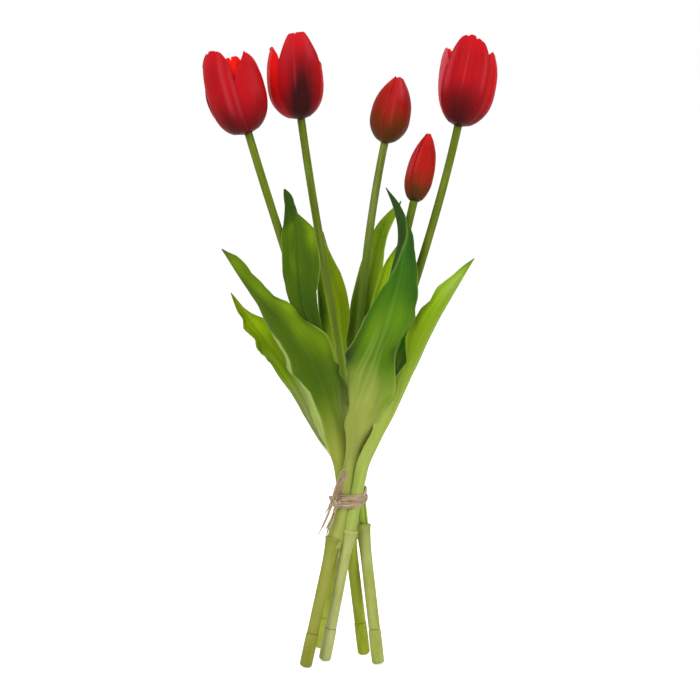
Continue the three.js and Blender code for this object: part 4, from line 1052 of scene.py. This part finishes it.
def bundle_edge(angle, height, lift=0.0):
    """Place on the outline of the tied stems, a lift away from it."""
    out = heading(angle)
    centres = np.array([axis.at(height) for axis in axes])
    outermost = centres[np.argmax(centres @ out)]
    point = outermost + out * (SHEATH_OUTER + RAFFIA_SLACK + RAFFIA_HALF_THICKNESS + lift)
    point[2] = height
    return point


def from_centre(point):
    return (point - BUNDLE_CENTRE) * [1, 1, 0]


def to_viewer(point):
    return np.broadcast_to([0.25, -1.0, 0.1], point.shape)


def ribbon(points, half, seed, outward, thick, taper=(0.0, 0.0), twist=0.0, fibres=5):
    """Flat fibrous strand along points, thinner towards a tapered end."""
    curve = Through(points)
    count = max(12, int(curve.length / 1.2))
    s = np.linspace(0, 1, count)
    point, along = curve.at(s), curve.direction(s)
    out = square(outward(point), along)
    wide = np.cross(along, out)
    turn = (twist * smooth(s))[:, None]
    out, wide = out * np.cos(turn) + wide * np.sin(turn), wide * np.cos(turn) - out * np.sin(turn)
    ends = np.ones(count)
    for share, away in zip(taper, (s, 1 - s)):
        if share:
            ends = ends * mix(0.25, 1, smooth(away / share))
    w = np.linspace(-1, 1, 4 * fibres + 1)
    run = (s * curve.length)[:, None]
    cross = 0.3 * np.cos(math.pi * fibres * w) + 0.1 * wave(run / 30 + 0.9 * w, seed)
    spread = half * ends[:, None] * (1 + 0.1 * wave(run / 22, seed + 3))
    body = ends[:, None] * (1 - 0.75 * w ** 6) + cross
    bow = -0.25 * w ** 2
    middle = point[:, None] + wide[:, None] * (w * spread)[..., None]
    faces = [middle + out[:, None] * (thick * (bow + sign * body))[..., None] for sign in (1, -1)]
    return shell(*faces, across=w * half / 2.3, along=run, tint=float(seed))


steps = np.linspace(0, WRAP_TURNS, WRAP_TURNS * 40 + 1)
rise = np.floor(steps) + smooth((steps % 1 - 0.85) / 0.15)
wrap = [bundle_edge(KNOT_ANGLE + 360 * a, WRAP_HEIGHT + WRAP_PITCH * b) for a, b in zip(steps, rise)]
strands = [ribbon(wrap, 2.45, 31, from_centre, 0.55, fibres=7)]

# Knot, loop, tails and loose fibres: places from the knot, half width, seed, tapers and twist
knot = bundle_edge(KNOT_ANGLE, 120, 0.45) + np.array([-1.0, -1.2, 3.2])
for offsets, half, seed, taper, twist in [
    ([(4.6, 0.4, 5.6), (1.6, -1.8, 3.4), (-1.8, -2.6, -0.4), (-4.6, -1.6, -4.4)], 1.5, 37, (0.2, 0.2), 0.3),
    ([(4.4, 0.4, -5.4), (2.4, -1.6, -3.6), (0.2, -3.2, -0.2), (-2.2, -2.6, 3), (-4.4, -0.8, 4.2)],
     2, 39, (0.2, 0.2), -0.2),
    ([(3.4, -2, -4.8), (3, -2.8, -1), (2.6, -2.6, 2.4)], 1.5, 40, (0.3, 0.3), 0),
    ([(1.6, -1.6, 1), (3.4, -2.6, 8), (6.1, -4.4, 16), (8.2, -5.6, 22.4), (7, -6.6, 24.4),
      (4.9, -6.5, 21.6), (2.2, -5.8, 14.4), (-0.3, -4.6, 7), (-2, -3.4, 0.5)], 1.1, 41, (0, 0), 0),
    ([(0.8, -2.6, 1), (1.8, -4, 8), (4.4, -5.2, 16), (6.2, -6.2, 23)], 0.7, 42, (0, 0.3), 0.6),
    ([(-0.6, -3, 1), (-4.4, -4, -7), (-7.8, -5.2, -14.6), (-12.2, -6.2, -23.4)],
     0.75, 43, (0, 0.5), 0.8),
    ([(1.4, -2.4, -1), (-0.6, -3.6, -8), (-3.2, -4.8, -14), (-6.4, -5.6, -19)],
     1.05, 47, (0, 0.25), 0.5),
    ([(0.2, -3.2, -2.8), (-2, -4.2, -11), (-4.8, -5, -19), (-6.4, -5.6, -27.6)],
     0.65, 53, (0, 0.5), -0.7),
    ([(-0.2, -2, -0.2), (-3.8, -2.8, -3.4), (-7.6, -3.2, -8.6)], 0.75, 59, (0, 0.6), 0.6),
    ([(-1, -3.2, 0.4), (-4.6, -4.4, -9), (-9, -4.6, -19)], 0.3, 61, (0, 0.4), 0.9),
    ([(0.4, -3.6, 3), (3.4, -6.2, 12), (4.4, -7.2, 20.6)], 0.3, 67, (0, 0.4), 0.9),
    ([(1, -3, -2), (-1, -5, -12), (-4.8, -6.2, -23)], 0.3, 71, (0, 0.4), -0.9),
]:
    fibres = 5 if half > 1 else 3
    strands.append(ribbon(knot + offsets, half, seed, to_viewer, min(0.5, 0.6 * half), taper, twist, fibres))
make("raffia_binding", strands, raffia_material(), "bouquet", "raffia_tie")

# Floor that shows white away from the object and keeps its shadow
FLOOR_RADIUS = 12.0
FLOOR_SIDES = 96
paint = Shade("floor_white", Base_Color="F2F2F0", Roughness=0.9, Specular_IOR_Level=0.0,
              Emission_Color="FFFFFF")
paint.to("Emission Strength", paint.scaled(paint.seen(), 0.62))
floor_mesh = bpy.data.meshes.new("floor")
rim = [(FLOOR_RADIUS * math.cos(a), FLOOR_RADIUS * math.sin(a), 0.0) for a in spins(FLOOR_SIDES)]
floor_mesh.from_pydata(rim, [], [list(range(FLOOR_SIDES))])
floor_mesh.materials.append(paint.material)
floor = bpy.data.objects.new("floor", floor_mesh)
bpy.context.scene.collection.objects.link(floor)


# Lights, white surroundings and camera
def aim(item, place, target):
    bpy.context.scene.collection.objects.link(item)
    item.location = place
    item.rotation_euler = (Vector(target) - Vector(place)).to_track_quat("-Z", "Y").to_euler()


LAMP_TARGET = (0, 0, 0.25)
for name, place, size, power in (
    ("key", (-0.9, -1.4, 1.7), 1.0, 21),
    ("fill", (1.4, -1.2, 0.8), 1.4, 12),
    ("back", (0.3, 1.4, 1.6), 1.2, 10),
):
    lamp = bpy.data.lights.new(name, "AREA")
    lamp.shape = "DISK"
    lamp.size = size
    lamp.energy = power
    aim(bpy.data.objects.new(name, lamp), place, LAMP_TARGET)

# Strength of the white all round: as light, and as the camera sees it
AROUND = (0.44, 1.0)
world = bpy.data.worlds.new("studio")
bpy.context.scene.world = world
world.use_nodes = True
world.node_tree.nodes.clear()
studio = Nodes(world.node_tree)
soft, white = (studio.node("Background", "FFFFFF", power).outputs[0] for power in AROUND)
studio.node("OutputWorld", studio.node("MixShader", studio.seen(), soft, white).outputs[0])

CAMERA_TARGET = (np.array([5.166, 0.0, 233.5]) + SHIFT) * MM
CAMERA_PLACE = (np.array([5.166, -1389.6, 404.1]) + SHIFT) * MM
camera_data = bpy.data.cameras.new("camera")
camera_data.sensor_width = 36.0
camera_data.lens = 97.56
camera_data.clip_end = 60.0
camera = bpy.data.objects.new("camera", camera_data)
aim(camera, CAMERA_PLACE, CAMERA_TARGET)
bpy.context.scene.camera = camera
bpy.context.scene.view_settings.view_transform = "Standard"
